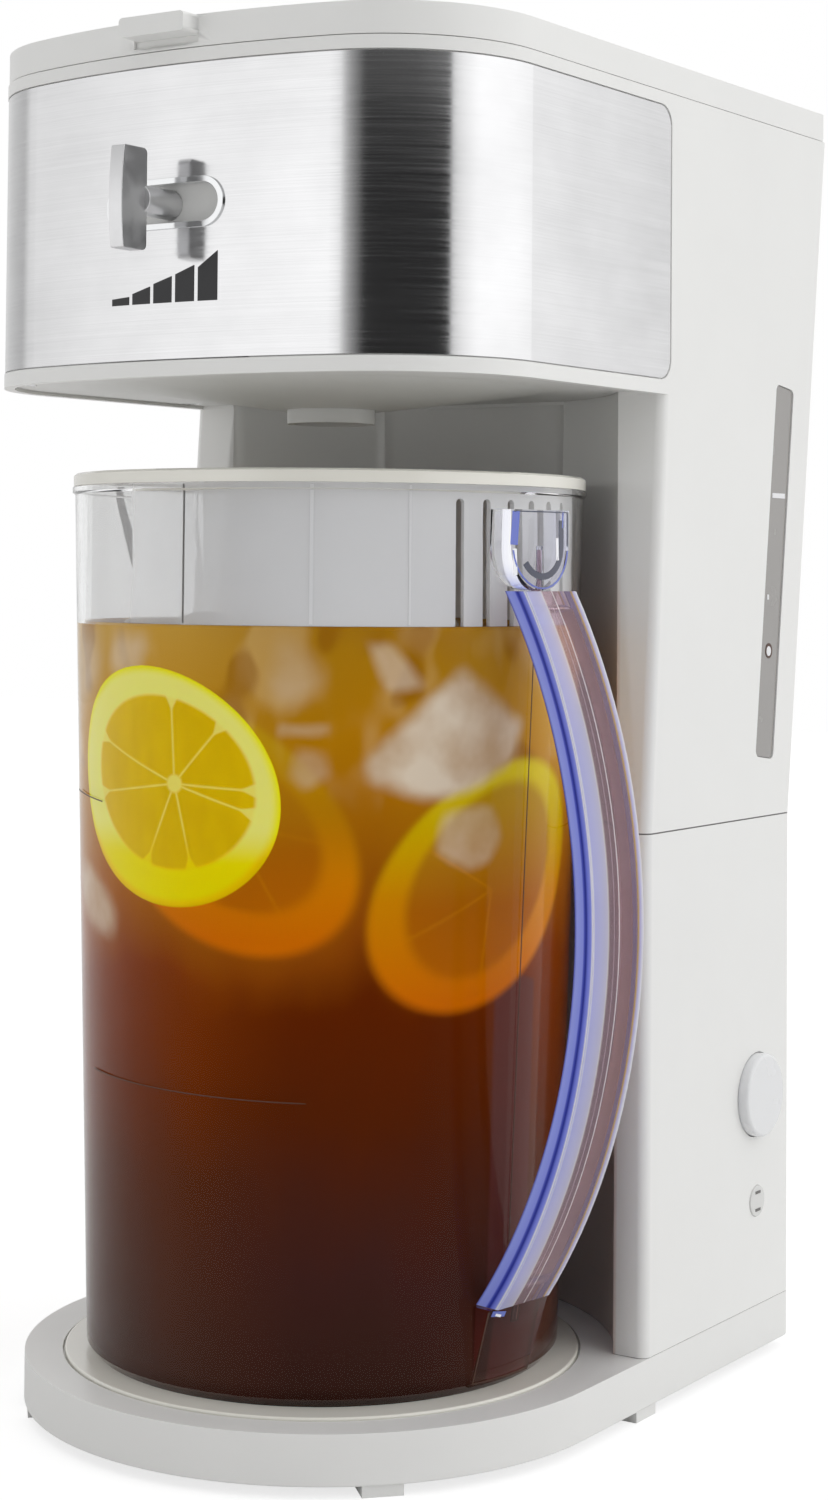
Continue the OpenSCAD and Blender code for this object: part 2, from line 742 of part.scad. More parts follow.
module brew_bowl() {
  placed() color("#d4d4d2") translate([0, bowl_y, 0]) difference() {
    union() {
      translate([0, 0, bowl_z]) cylinder(r = bowl_r, h = bowl_top - bowl_z);
      translate([0, 0, bowl_top - bowl_flange]) cylinder(r = bowl_r + 2, h = bowl_flange);
    }
    translate([0, 0, bowl_z - eps]) cylinder(r = bowl_r - bowl_t, h = bowl_floor_z - bowl_z + eps);
    translate([0, 0, bowl_floor_z + 2]) cylinder(r = bowl_r - bowl_t, h = bowl_top - bowl_z);
    translate([0, -bowl_y, bowl_floor_z - eps]) cylinder(r = outlet_bore_r, h = 5);
  }
}

basket_r = bowl_r - bowl_t - 1.5;
basket_foot_r = basket_r - 8;

module brew_basket() {
  drop = basket_r - basket_foot_r;
  placed() color("#e9e9e6") translate([0, bowl_y, 0]) difference() {
    rotate_extrude() polygon([
      [0, basket_z], [basket_foot_r, basket_z], [basket_r, bowl_top + gap],
      [bowl_r + 1.5, bowl_top + gap], [bowl_r + 1.5, bowl_top + basket_flange],
      [basket_r - basket_t, bowl_top + basket_flange],
      [basket_foot_r - basket_t, basket_z + basket_t], [0, basket_z + basket_t]
    ]);
    for (a = [0:30:330]) rotate([0, 0, a]) translate([drop * 3, 0, basket_z - eps])
      cylinder(r = 2.5, h = 5);
    for (a = [0:60:300]) rotate([0, 0, a]) translate([drop * 1.4, 0, basket_z - eps])
      cylinder(r = 2.5, h = 5);
  }
}

module basket_filter() {
  z0 = basket_z + basket_t;
  r0 = basket_foot_r - basket_t - 1;
  placed() color("#c9a86a") translate([0, bowl_y, 0]) rotate_extrude() polygon([
    [0, z0], [r0, z0], [r0 + 5, z0 + 30], [r0 + 4.2, z0 + 30], [r0 - 0.8, z0 + 0.8], [0, z0 + 0.8]
  ]);
}

nipple_r = pipe_r;
nipple_low = seam_z - 14.6;

module water_tank() {
  placed() color("#e4e6e6") difference() {
    union() {
      leaning_block(tank_in, tank_z, tank_rim_z, tank_front_r);
      // Rim that closes the gap to the housing, notched round the riser
      difference() {
        leaning_block(wall + gap, tank_rim_z - tank_t, tank_rim_z, bay_r + wall + gap);
        translate([0, riser_y, tank_rim_z - 10]) cylinder(r = pipe_r + gap, h = 20);
      }
      translate([heater_x, riser_y, nipple_low]) cylinder(r = nipple_r, h = tank_z - nipple_low + 1);
      // Four short legs that stand on the housing's floor
      for (p = [[68, 78], [-68, 78], [66, 112], [-66, 112]])
        translate([p[0], p[1], seam_z + wall]) cylinder(r = 3, h = tank_z - seam_z - wall + 1);
      gauge_ribs();
    }
    leaning_block(tank_in + tank_t, tank_z + tank_t, tank_rim_z + eps, tank_front_r + tank_t);
    translate([heater_x, riser_y, nipple_low - eps])
      cylinder(r = nipple_r - pipe_t, h = tank_z - nipple_low + tank_t + eps);
  }
}

float_x = half_w - wall - tank_gap + float_r + gap;
float_up = (float_z - seam_z) / cos(lean_back);

// Two ribs on the tank's right side, which the gauge float runs between
module gauge_ribs() {
  low = float_up - float_r - gap - 1.2;
  high = (window_high - 5 - seam_z) / cos(lean_back);
  along_x(half_w - tank_in - 1, half_w - tank_in + 2 * float_r) translate([window_y, seam_z])
    rotate(-lean_back) {
      for (s = [-1, 1]) translate([s * (float_r + gap + 0.6) - 0.6, low]) square([1.2, high - low]);
      for (y = [low, high - 1.2]) translate([-float_r - gap - 1, y])
        square([2 * (float_r + gap + 1), 1.2]);
    }
}

module tank_window() {
  placed() color("#9a9694") {
    along_x(half_w - wall, half_w - 0.4) window_side(-gap / 4);
    along_x(half_w - wall - 1, half_w - wall) window_side(1.5);
  }
}

module gauge_float() {
  placed() color("#e8e8e8") translate([float_x, window_y, seam_z]) rotate([-lean_back, 0, 0])
    translate([0, 0, float_up]) sphere(float_r);
}

module lid() {
  rim_z0 = top_z + gap;
  placed() color("#e8e8e6") difference() {
    union() {
      difference() {
        up_z(rim_z0, lid_top) top_plan(0.3);
        up_z(rim_z0 - eps, lid_top - lid_wall) top_plan(lid_wall + 0.3);
      }
      along_y(-head_front - tab_out, -head_front + 4) translate([0, lid_top])
        round_box(-tab_w / 2, tab_w / 2, -5.3, 0, 1.2);
      for (s = [-1, 1], t = [-1, 1]) {
        x = s * ear_x + t * (ear_w / 2 + gap + lug_w / 2);
        along_x(x - lug_w / 2, x + lug_w / 2) {
          translate([hinge_y, hinge_z]) circle(hinge_r);
          translate([hinge_y - hinge_r, hinge_z])
            square([2 * hinge_r - gap, lid_top - hinge_z - lid_wall + 0.5]);
        }
      }
    }
    // Finger recess under the tab
    translate([-tab_w / 2, -head_front - eps, rim_z0 + 1.2]) cube([tab_w, 1.6 + eps, 2.1]);
    // Notches round the housing's ears, and the clear rear lower edge
    for (s = [-1, 1]) translate([s * ear_x - ear_w / 2 - gap, hinge_y - hinge_r - 0.8, rim_z0 - eps])
      cube([ear_w + 2 * gap, 20, lid_h + 2 * eps]);
    along_x(-half_w - eps, half_w + eps) difference() {
      translate([hinge_y, rim_z0 - eps]) square([20, hinge_z - rim_z0 + eps]);
      translate([hinge_y, hinge_z]) circle(hinge_r);
    }
    along_x(-ear_x - 20, ear_x + 20) translate([hinge_y, hinge_z]) circle(hinge_pin_r + run);
  }
}

tray_half = 12;
tray_up = 12;
tray_low = bowl_top + basket_flange + tray_up;

module lid_spray_tray() {
  y0 = -25;
  y1 = nozzle_end - 2.5;
  top = lid_top - lid_wall;
  placed() color("#d8dadc") difference() {
    translate([-tray_half, y0, tray_low]) cube([2 * tray_half, y1 - y0, top - tray_low]);
    translate([2 - tray_half, y0 + 2, tray_low + 2])
      cube([2 * tray_half - 4, y1 - y0, top - tray_low]);
    for (y = [-16:7:12], x = [-5, 5]) translate([x, y, tray_low - eps]) cylinder(r = 1.5, h = 5);
  }
}

module lid_hinge_pins() {
  len = ear_w + 2 * lug_w + 2 * gap;
  placed() color("silver") for (s = [-1, 1])
    translate([s * ear_x - len / 2, hinge_y, hinge_z]) rotate([0, 90, 0])
      cylinder(r = hinge_pin_r, h = len);
}

// A U-shaped round bar: two upright legs joined by a half turn at the bottom
module u_bar(r, y, top) {
  translate([-heater_half, y, heater_low]) {
    for (s = [-1, 1]) translate([s * heater_half, 0, 0]) cylinder(r = r, h = top - heater_low);
    rotate([90, 0, 0]) rotate([0, 0, 180]) rotate_extrude(angle = 180)
      translate([heater_half, 0]) circle(r);
  }
}

module heater_pipe() {
  placed() color("#b4b6b8") difference() {
    union() {
      u_bar(pipe_r, riser_y, heater_top);
      u_bar(rod_r, riser_y + pipe_r + rod_r - 0.5, heater_top - 12);
    }
    u_bar(pipe_r - pipe_t, riser_y, heater_top + eps);
  }
}

bracket_y = riser_y + pipe_r + 2 * rod_r - 0.4;
bracket_side = 8;
bracket_foot = 8;
bracket_h = heater_top - base_z - 23.5;

module heater_bracket() {
  placed() color("#a8aaac") {
    translate([heater_x - bracket_side, bracket_y, base_z])
      cube([2 * (heater_half + bracket_side), plate_t, bracket_h]);
    translate([heater_x + bracket_side, bracket_y + plate_t, base_z])
      cube([2 * (heater_half - bracket_side), bracket_foot, plate_t]);
  }
}

module thermostat() {
  placed() color("#2e2e30") translate([-heater_half, bracket_y + plate_t, heater_low + 30])
    rotate([-90, 0, 0]) {
      cylinder(r = 8, h = 5);
      translate([0, 0, 5]) cylinder(r = 5.5, h = 3);
    }
}

module thermal_fuse() {
  placed() color("#c8b070") translate([-heater_half - 15, bracket_y + plate_t + 2.6, heater_low + 5])
    rotate([0, 90, 0]) cylinder(r = 2.5, h = 30);
}

module hose(x, y, z0, z1) {
  translate([x, y, 0]) tube(hose_r, pipe_r + run, z0, z1);
}

module inlet_hose() {
  placed() color("#b8bcc0") hose(heater_x, riser_y, heater_top - 6, nipple_low + 8);
}

module check_valve() {
  placed() color("#8c9094") translate([heater_x, riser_y, 0])
    tube(pipe_r, pipe_r - 2, heater_top + gap, nipple_low - gap);
}

module outlet_hose() {
  placed() color("#b8bcc0") hose(0, riser_y, heater_top - 6, heater_top + 16);
}

module riser_tube() {
  placed() color("#d0d2d2") translate([0, riser_y, 0]) difference() {
    union() {
      translate([0, 0, heater_top + 3]) cylinder(r = pipe_r, h = nozzle_z - nozzle_bend - heater_top - 3);
      elbow(pipe_r);
      translate([0, nozzle_end - riser_y, nozzle_z]) rotate([-90, 0, 0])
        cylinder(r = pipe_r, h = riser_y - nozzle_bend - nozzle_end);
    }
    translate([0, 0, heater_top]) cylinder(r = pipe_r - pipe_t, h = nozzle_z - nozzle_bend - heater_top);
    elbow(pipe_r - pipe_t);
    translate([0, nozzle_end - riser_y - eps, nozzle_z]) rotate([-90, 0, 0])
      cylinder(r = pipe_r - pipe_t, h = riser_y - nozzle_bend - nozzle_end + eps);
  }
}

// A quarter bend from straight up to straight forward
module elbow(r) {
  translate([0, -nozzle_bend, nozzle_z - nozzle_bend]) rotate([90, 0, 90])
    rotate_extrude(angle = 90) translate([nozzle_bend, 0]) circle(r);
}

module power_button() {
  placed() color("#e2e2e0") translate([0, button_y, button_z]) rotate([0, 90, 0]) {
    translate([0, 0, half_w - wall - gap - eps]) cylinder(r = button_r, h = wall + gap + eps + button_out);
    translate([0, 0, half_w - wall - gap - button_flange]) cylinder(r = button_r + 1.6, h = button_flange);
    translate([0, 0, stem_end]) cylinder(r = 4, h = half_w - wall - gap - stem_end);
  }
}

module button_spring() {
  n = 5;
  len = half_w - wall - gap - button_flange - switch_x - 0.4;
  placed() color("silver") translate([switch_x + 0.2, button_y, button_z]) rotate([0, 90, 0])
    for (k = [0:n - 1]) translate([0, 0, 0.5 + k * (len - 1) / (n - 1)])
      rotate_extrude() translate([5.2, 0]) circle(0.5, $fn = 24);
}

module switch_body() {
  placed() color("#2a2a2c") translate([switch_x - switch_d, button_y - 9, button_z - 9])
    cube([switch_d, 18, 18]);
}

bracket_half = 16;

module switch_bracket() {
  x0 = switch_x - switch_d;
  x1 = half_w - wall;
  placed() color("#cfd0d0") difference() {
    union() {
      for (s = [-1, 1]) translate([x0, button_y + s * bracket_half - plate_t / 2, button_z - 12])
        cube([x1 - x0, plate_t, 24]);
      translate([x0 - plate_t, button_y - bracket_half - plate_t / 2, button_z - 12])
        cube([plate_t, 2 * bracket_half + plate_t, 24]);
    }
    translate([x0 - plate_t - eps, button_y - 4, button_z - 4]) cube([plate_t + 2 * eps, 8, 8]);
  }
}

module indicator_lens() {
  placed() color("#d6d4d0") translate([0, button_y, lens_z]) rotate([0, 90, 0]) {
    translate([0, 0, half_w - wall]) cylinder(r = lens_r, h = wall + 0.5);
    translate([0, 0, half_w - wall - 1.5]) cylinder(r = lens_r + 1.5, h = 1.5);
  }
}

module indicator_lamp() {
  placed() color("#b04a2a") translate([0, button_y, lens_z]) rotate([0, 90, 0]) {
    translate([0, 0, half_w - wall - 10]) cylinder(r = 2.6, h = 8.5);
    translate([0, 0, half_w - wall - 12]) cylinder(r = 3.2, h = 2);
  }
}

// Outer radius of the pitcher at height z
function pitcher_r(z) = pitcher_foot_r + (z - foot_z) * taper;
boss_low = rim_z - 28;
boss_high = rim_z - 6.3;
heel_high = foot_z + 23.6;
boss_w = handle_w + 3;
spout_out = 7;
// The arc of the handle's outer face
arc_z = (boss_low + heel_high) / 2 + handle_rise;
handle_r = (pow(boss_low - arc_z, 2) + pow(handle_bow, 2)) / (2 * handle_bow);
arc_x = handle_out - handle_r;
handle_sweep = asin((arc_z - heel_high) / (handle_r - handle_d)) + 1;
function handle_x(z) = arc_x + sqrt(pow(handle_r, 2) - pow(z - arc_z, 2));
// The tongues at the handle's ends, and how far the pitcher stands out round them
tongue_r = 1.4;
tongue_x = handle_x(boss_low) - handle_d + 1.1;
heel_x = handle_x(heel_high) - 4.3;
boss_r_out = tongue_x + tongue_r + 0.8;
heel_r_out = heel_x + tongue_r + 2.3;
tongue_in = 11;
heel_in = 4.5;
plug_h = 5;

module wall_solid(i, z0, z1) {
  rotate_extrude() polygon([
    [0, z0], [pitcher_r(z0) - i, z0], [pitcher_r(z1) - i, z1], [0, z1]
  ]);
}

module pitcher_body() {
  placed() color("#d8dee2") rotate([0, 0, pitcher_turn]) difference() {
    union() {
      rotate_extrude() polygon([
        [0, foot_z + 0.8], [pitcher_foot_r - 6, foot_z + 0.8], [pitcher_foot_r - 5, foot_z],
        [pitcher_foot_r - 2, foot_z], [pitcher_r(foot_z + 2.5), foot_z + 2.5],
        [pitcher_r(rim_z - 2) - 0.7, rim_z - 2], [pitcher_rim_r, rim_z - 1.4],
        [pitcher_rim_r, rim_z], [0, rim_z]
      ]);
      // Socket under the rim that the handle's upper end plugs into
      intersection() {
        along_x(40, boss_r_out) union() {
          translate([-boss_w / 2, boss_low + boss_w / 2]) square([boss_w, boss_high - boss_low - boss_w / 2]);
          translate([0, boss_low + boss_w / 2]) intersection() {
            circle(boss_w / 2);
            translate([-boss_w, -boss_w / 2]) square([2 * boss_w, boss_w / 2]);
          }
        }
        cylinder(r = boss_r_out, h = rim_z);
      }
      // Heel at the foot that the handle's lower end plugs into
      intersection() {
        translate([40, -boss_w / 2, foot_z + 2]) cube([60, boss_w, heel_high - foot_z - 2]);
        rotate_extrude() polygon([
          [30, foot_z + 2], [pitcher_r(foot_z + 3) + 0.5, foot_z + 2],
          [heel_r_out, heel_high], [30, heel_high]
        ]);
      }
      // Pouring lip opposite the handle
      rotate([0, 0, 168]) rotate_extrude(angle = 24) polygon([
        [60, rim_z - 24], [pitcher_r(rim_z - 24) - 0.8, rim_z - 24],
        [pitcher_rim_r + spout_out, rim_z], [60, rim_z]
      ]);
    }
    rotate_extrude() polygon([
      [0, foot_z + pitcher_floor], [pitcher_r(foot_z) - pitcher_wall - 3, foot_z + pitcher_floor],
      [pitcher_r(foot_z + 6) - pitcher_wall, foot_z + 6],
      [pitcher_r(rim_z) - pitcher_wall, rim_z], [pitcher_r(rim_z) - pitcher_wall, rim_z + eps],
      [0, rim_z + eps]
    ]);
    rotate([0, 0, 170]) rotate_extrude(angle = 20) polygon([
      [60, rim_z - 20], [pitcher_r(rim_z - 24) - pitcher_wall, rim_z - 20],
      [pitcher_rim_r + spout_out - 2.2, rim_z], [pitcher_rim_r + spout_out - 2.2, rim_z + eps],
      [60, rim_z + eps]
    ]);
    translate([tongue_x, 0, boss_low - eps]) cylinder(r = tongue_r + run, h = eps + tongue_in + 1);
    translate([heel_x, 0, heel_high - heel_in - 0.5]) cylinder(r = tongue_r + run, h = heel_in + 0.5 + eps);
  }
}

// A flat section swept along the handle's arc
module along_handle() {
  translate([arc_x, 0, arc_z]) rotate([90, 0, 0]) rotate([0, 0, -handle_sweep])
    rotate_extrude(angle = 2 * handle_sweep) translate([handle_r - handle_d, -handle_w / 2]) children();
}

module handle_slab(z0, z1) {
  translate([0, -50, z0]) cube([200, 100, z1 - z0]);
}

module pitcher_handle() {
  placed() color("#b8c0e8") rotate([0, 0, pitcher_turn]) {
    intersection() {
      difference() {
        union() {
          along_handle() handle_profile();
          // Solid ends that carry the tongues
          intersection() {
            along_handle() translate([0.3, handle_t - 0.5])
              square([handle_d - 0.6, handle_w - 2 * handle_t + 1]);
            union() {
              handle_slab(heel_high, heel_high + plug_h);
              handle_slab(boss_low - plug_h, boss_low);
            }
          }
        }
        wall_solid(-gap / 2, foot_z, rim_z);
      }
      handle_slab(heel_high + 0.1, boss_low - 0.1);
    }
    translate([tongue_x, 0, boss_low - 1.2]) cylinder(r = tongue_r, h = tongue_in + 1.2);
    translate([heel_x, 0, heel_high - heel_in]) cylinder(r = tongue_r, h = heel_in + 1.2);
  }
}

// The handle's channel section, open towards the pitcher
module handle_profile() {
  difference() {
    square([handle_d, handle_w]);
    translate([-eps, handle_t]) square([handle_d - handle_t + eps, handle_w - 2 * handle_t]);
  }
}

skirt_r = pitcher_r(rim_z - skirt_h) - pitcher_wall - 0.5;
skirt_t = 1.5;
slot_first = -16;
slot_pitch = 7.2;
mouth_r = 16;

module pitcher_lid() {
  placed() color("#efece2") rotate_extrude() polygon([
    [mouth_r, cap_z + 0.6], [skirt_r - 4, cap_z + 0.6], [skirt_r - 3, cap_z],
    [pitcher_rim_r - 0.3, cap_z], [pitcher_rim_r - 0.3, cap_z + cap_h - 0.6],
    [pitcher_rim_r - 1.1, cap_z + cap_h], [skirt_r - 6, cap_z + cap_h],
    [mouth_r + 6, cap_z + cap_h - 1.4], [mouth_r, cap_z + cap_h - 1.4]
  ]);
}

// A slot between two fingers of the strainer, round above and open below
module finger_gap() {
  gap_r = 1.3;
  high = skirt_h - 3.8 - gap_r;
  translate([skirt_r - 8, -gap_r, -1]) cube([16, 2 * gap_r, high + 1]);
  translate([skirt_r - 8, 0, high]) rotate([0, 90, 0]) cylinder(r = gap_r, h = 16);
}

module lid_strainer_skirt() {
  placed() color("#e4e4e0") rotate([0, 0, pitcher_turn]) difference() {
    tube(skirt_r, skirt_r - skirt_t, cap_z - skirt_h, cap_z);
    for (k = [0:strainer_slots - 1]) rotate([0, 0, slot_first + slot_pitch * k])
      translate([0, 0, cap_z - skirt_h]) finger_gap();
  }
}

base_shell();
base_cover();
feet();
base_screws();
pitcher_rest();
lower_tower_shell();
tower_screws();
rear_cover();
rear_cover_screws();
cord_gland();
upper_housing();
housing_screws();
steel_front_band();
slot_trim();
strength_knob();
strength_gate();
head_bottom_cover();
head_screws();
drip_outlet();
brew_bowl();
brew_basket();
basket_filter();
water_tank();
tank_window();
gauge_float();
lid();
lid_spray_tray();
lid_hinge_pins();
heater_pipe();
heater_bracket();
thermostat();
thermal_fuse();
inlet_hose();
check_valve();
outlet_hose();
riser_tube();
power_button();
button_spring();
switch_body();
switch_bracket();
indicator_lens();
indicator_lamp();
pitcher_body();
pitcher_handle();
pitcher_lid();
lid_strainer_skirt();
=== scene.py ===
"""Dresses the iced tea maker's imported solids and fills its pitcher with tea, ice and lemon.
Sizes are millimetres about the pitcher axis, turned into the row frame's metres by at()."""

import json
import math
import random

import bmesh
import bpy
from mathutils import Matrix, Vector, noise

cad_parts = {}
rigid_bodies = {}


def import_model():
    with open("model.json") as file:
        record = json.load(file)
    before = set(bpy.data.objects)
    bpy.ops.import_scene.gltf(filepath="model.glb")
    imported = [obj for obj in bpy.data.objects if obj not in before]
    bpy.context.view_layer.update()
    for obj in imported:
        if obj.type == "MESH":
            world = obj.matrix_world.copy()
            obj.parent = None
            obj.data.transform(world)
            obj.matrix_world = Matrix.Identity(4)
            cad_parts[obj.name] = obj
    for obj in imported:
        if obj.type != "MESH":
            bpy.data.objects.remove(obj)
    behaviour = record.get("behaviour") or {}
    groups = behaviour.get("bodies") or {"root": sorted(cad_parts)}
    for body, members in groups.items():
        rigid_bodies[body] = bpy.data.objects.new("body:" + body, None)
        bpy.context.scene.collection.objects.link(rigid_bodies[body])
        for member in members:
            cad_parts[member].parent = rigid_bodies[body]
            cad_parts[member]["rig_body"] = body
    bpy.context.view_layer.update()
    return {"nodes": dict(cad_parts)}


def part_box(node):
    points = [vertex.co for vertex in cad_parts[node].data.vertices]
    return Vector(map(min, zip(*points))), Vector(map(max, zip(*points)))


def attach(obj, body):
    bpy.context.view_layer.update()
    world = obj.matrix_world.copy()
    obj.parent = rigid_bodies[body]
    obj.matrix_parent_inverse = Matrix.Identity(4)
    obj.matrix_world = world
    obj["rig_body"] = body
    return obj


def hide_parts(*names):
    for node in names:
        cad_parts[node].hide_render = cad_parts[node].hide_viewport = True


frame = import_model()

MM = 0.001
NODES = frame["nodes"]

# The pitcher axis in the row frame, from the round rest that the pitcher stands on
rest_low, rest_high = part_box("pitcher_rest")
AXIS = Vector(((rest_low.x + rest_high.x) / 2, (rest_low.y + rest_high.y) / 2, 0))

# The head's plan, which the band and the printed bars follow
HALF_W = 85.1
FRONT = 78
FRONT_ARC = 220
ARC_Y = FRONT_ARC - FRONT
BAND_IN = 0.2

# Radius of the hollow in the tower that the pitcher stands in
BAY_R = 83

# Heights of the base, the tower's seam, the head's underside, and the lid's seam and top
BASE_LOW = 3
BASE_HIGH = 16.5
TOWER_SEAM = 162.6
HEAD_LOW = 287.5
HEAD_HIGH = 374.4
LID_LOW = 374.7
LID_HIGH = 383.3

# The pitcher: its turn about its axis, outside and wall, its rest and its lid
TURN = -9
FOOT_Z = 17.5
FOOT_R = 66.9
TAPER = 7.1 / 241.8
WALL = 2.6
REST_HIGH = 17.2
PITCHER_LID_HIGH = 263.2

# The tea's level, and how far it and the slice reach into the wall, so that no air shows between
TEA_LEVEL = 220.6
TEA_SOAK = 0.2
SLICE_SOAK = 0.45

# Places in the tea are millimetres along the wall from this azimuth, at this radius, and height
FILL_FRONT = -54.4
FILL_R = 68

# The handle's arc, and the half of its width
HANDLE_R = 177.84
HANDLE_D = 6.4
HANDLE_HALF = 10.5
HANDLE_X = 107 - HANDLE_R
HANDLE_Z = 142.6

# The clear socket and heel that hold the handle's ends
SOCKET_R = 80.2
SOCKET_HIGH = 252.5
SOCKET_MID = 243.3
HEEL_LOW = 19.5
HEEL_HIGH = 41.1
HEEL_LOW_R = 67.5
HEEL_HIGH_R = 74.6

# The strainer skirt
SKIRT_LOW = 221.6
SKIRT_RIB_HIGH = 259
SKIRT_R = 69.8


def at(x, y, z):
    """A point given in millimetres about the pitcher axis, in the row frame's metres."""
    return AXIS + Vector((x, y, z)) * MM


def polar(radius, degrees, z):
    """A point on a circle about the pitcher axis, its angle measured from +X."""
    angle = math.radians(degrees)
    return at(radius * math.cos(angle), radius * math.sin(angle), z)


def in_mm(point):
    """A row-frame point as millimetres about the pitcher axis."""
    return (point - AXIS) / MM


def inner_radius(z):
    """Radius of the pitcher's inner wall at height z."""
    return FOOT_R + (z - FOOT_Z) * TAPER - WALL


# Materials


def linear(red, green, blue):
    """An 8-bit display colour as a linear one."""

    def channel(value):
        share = value / 255
        return share / 12.92 if share <= 0.04045 else ((share + 0.055) / 1.055) ** 2.4

    return (channel(red), channel(green), channel(blue), 1)


class Graph:
    """Short calls that add nodes to a node tree and link them."""

    def __init__(self, tree):
        self.tree = tree

    def node(self, kind, **settings):
        made = self.tree.nodes.new(kind)
        for key, value in settings.items():
            setattr(made, key, value)
        return made

    def feed(self, socket, value):
        if isinstance(value, bpy.types.NodeSocket):
            self.tree.links.new(value, socket)
        else:
            socket.default_value = value

    def feed_all(self, node, *values):
        """Feeds a node's first sockets, in their order."""
        for socket, value in zip(node.inputs, values):
            self.feed(socket, value)

    def math(self, operation, first, second=0.0):
        made = self.node("ShaderNodeMath", operation=operation)
        self.feed_all(made, first, second)
        return made.outputs[0]

    def vector(self, operation, *values):
        made = self.node("ShaderNodeVectorMath", operation=operation)
        self.feed_all(made, *values)
        return made.outputs

    def times(self, first, second):
        return self.math("MULTIPLY", first, second)

    def off(self, value, middle):
        """How far a value lies from a middle one."""
        return self.math("ABSOLUTE", self.math("SUBTRACT", value, middle))

    def length(self, x, y):
        return self.math("SQRT", self.math("ADD", self.times(x, x), self.times(y, y)))

    def fit(self, value, from_low, from_high, to_low, to_high, kind="LINEAR"):
        """Turns one range of a value into another and stops at its ends."""
        made = self.node("ShaderNodeMapRange", interpolation_type=kind)
        self.feed_all(made, value, from_low, from_high, to_low, to_high)
        return made.outputs["Result"]

    def fade(self, *ranges):
        """As fit(), but with soft ends."""
        return self.fit(*ranges, kind="SMOOTHSTEP")

    def mix(self, share, first, second, blend="MIX", clamp=True):
        made = self.node("ShaderNodeMix", data_type="RGBA", blend_type=blend, clamp_result=clamp)
        self.feed(made.inputs["Factor"], share)
        self.feed(made.inputs["A"], first)
        self.feed(made.inputs["B"], second)
        return made.outputs["Result"]

    def ramp(self, value, stops):
        made = self.node("ShaderNodeValToRGB")
        points = made.color_ramp.elements
        while len(points) < len(stops):
            points.new(0.5)
        for point, (position, colour) in zip(points, stops):
            point.position = position
            point.color = colour
        self.feed(made.inputs["Fac"], value)
        return made.outputs["Color"]

    def split(self, vector):
        made = self.node("ShaderNodeSeparateXYZ")
        self.feed(made.inputs[0], vector)
        return made.outputs

    def join(self, x, y, z=0.0):
        made = self.node("ShaderNodeCombineXYZ")
        self.feed_all(made, x, y, z)
        return made.outputs[0]

    def for_rays(self, kinds, surface, usual, other):
        """Shows another shader to two kinds of ray, and the usual one to the rest."""
        ray = self.node("ShaderNodeLightPath")
        choose = self.node("ShaderNodeMixShader")
        seen = self.math("MAXIMUM", ray.outputs[kinds[0]], ray.outputs[kinds[1]])
        self.feed_all(choose, seen, usual, other)
        self.feed(surface, choose.outputs[0])


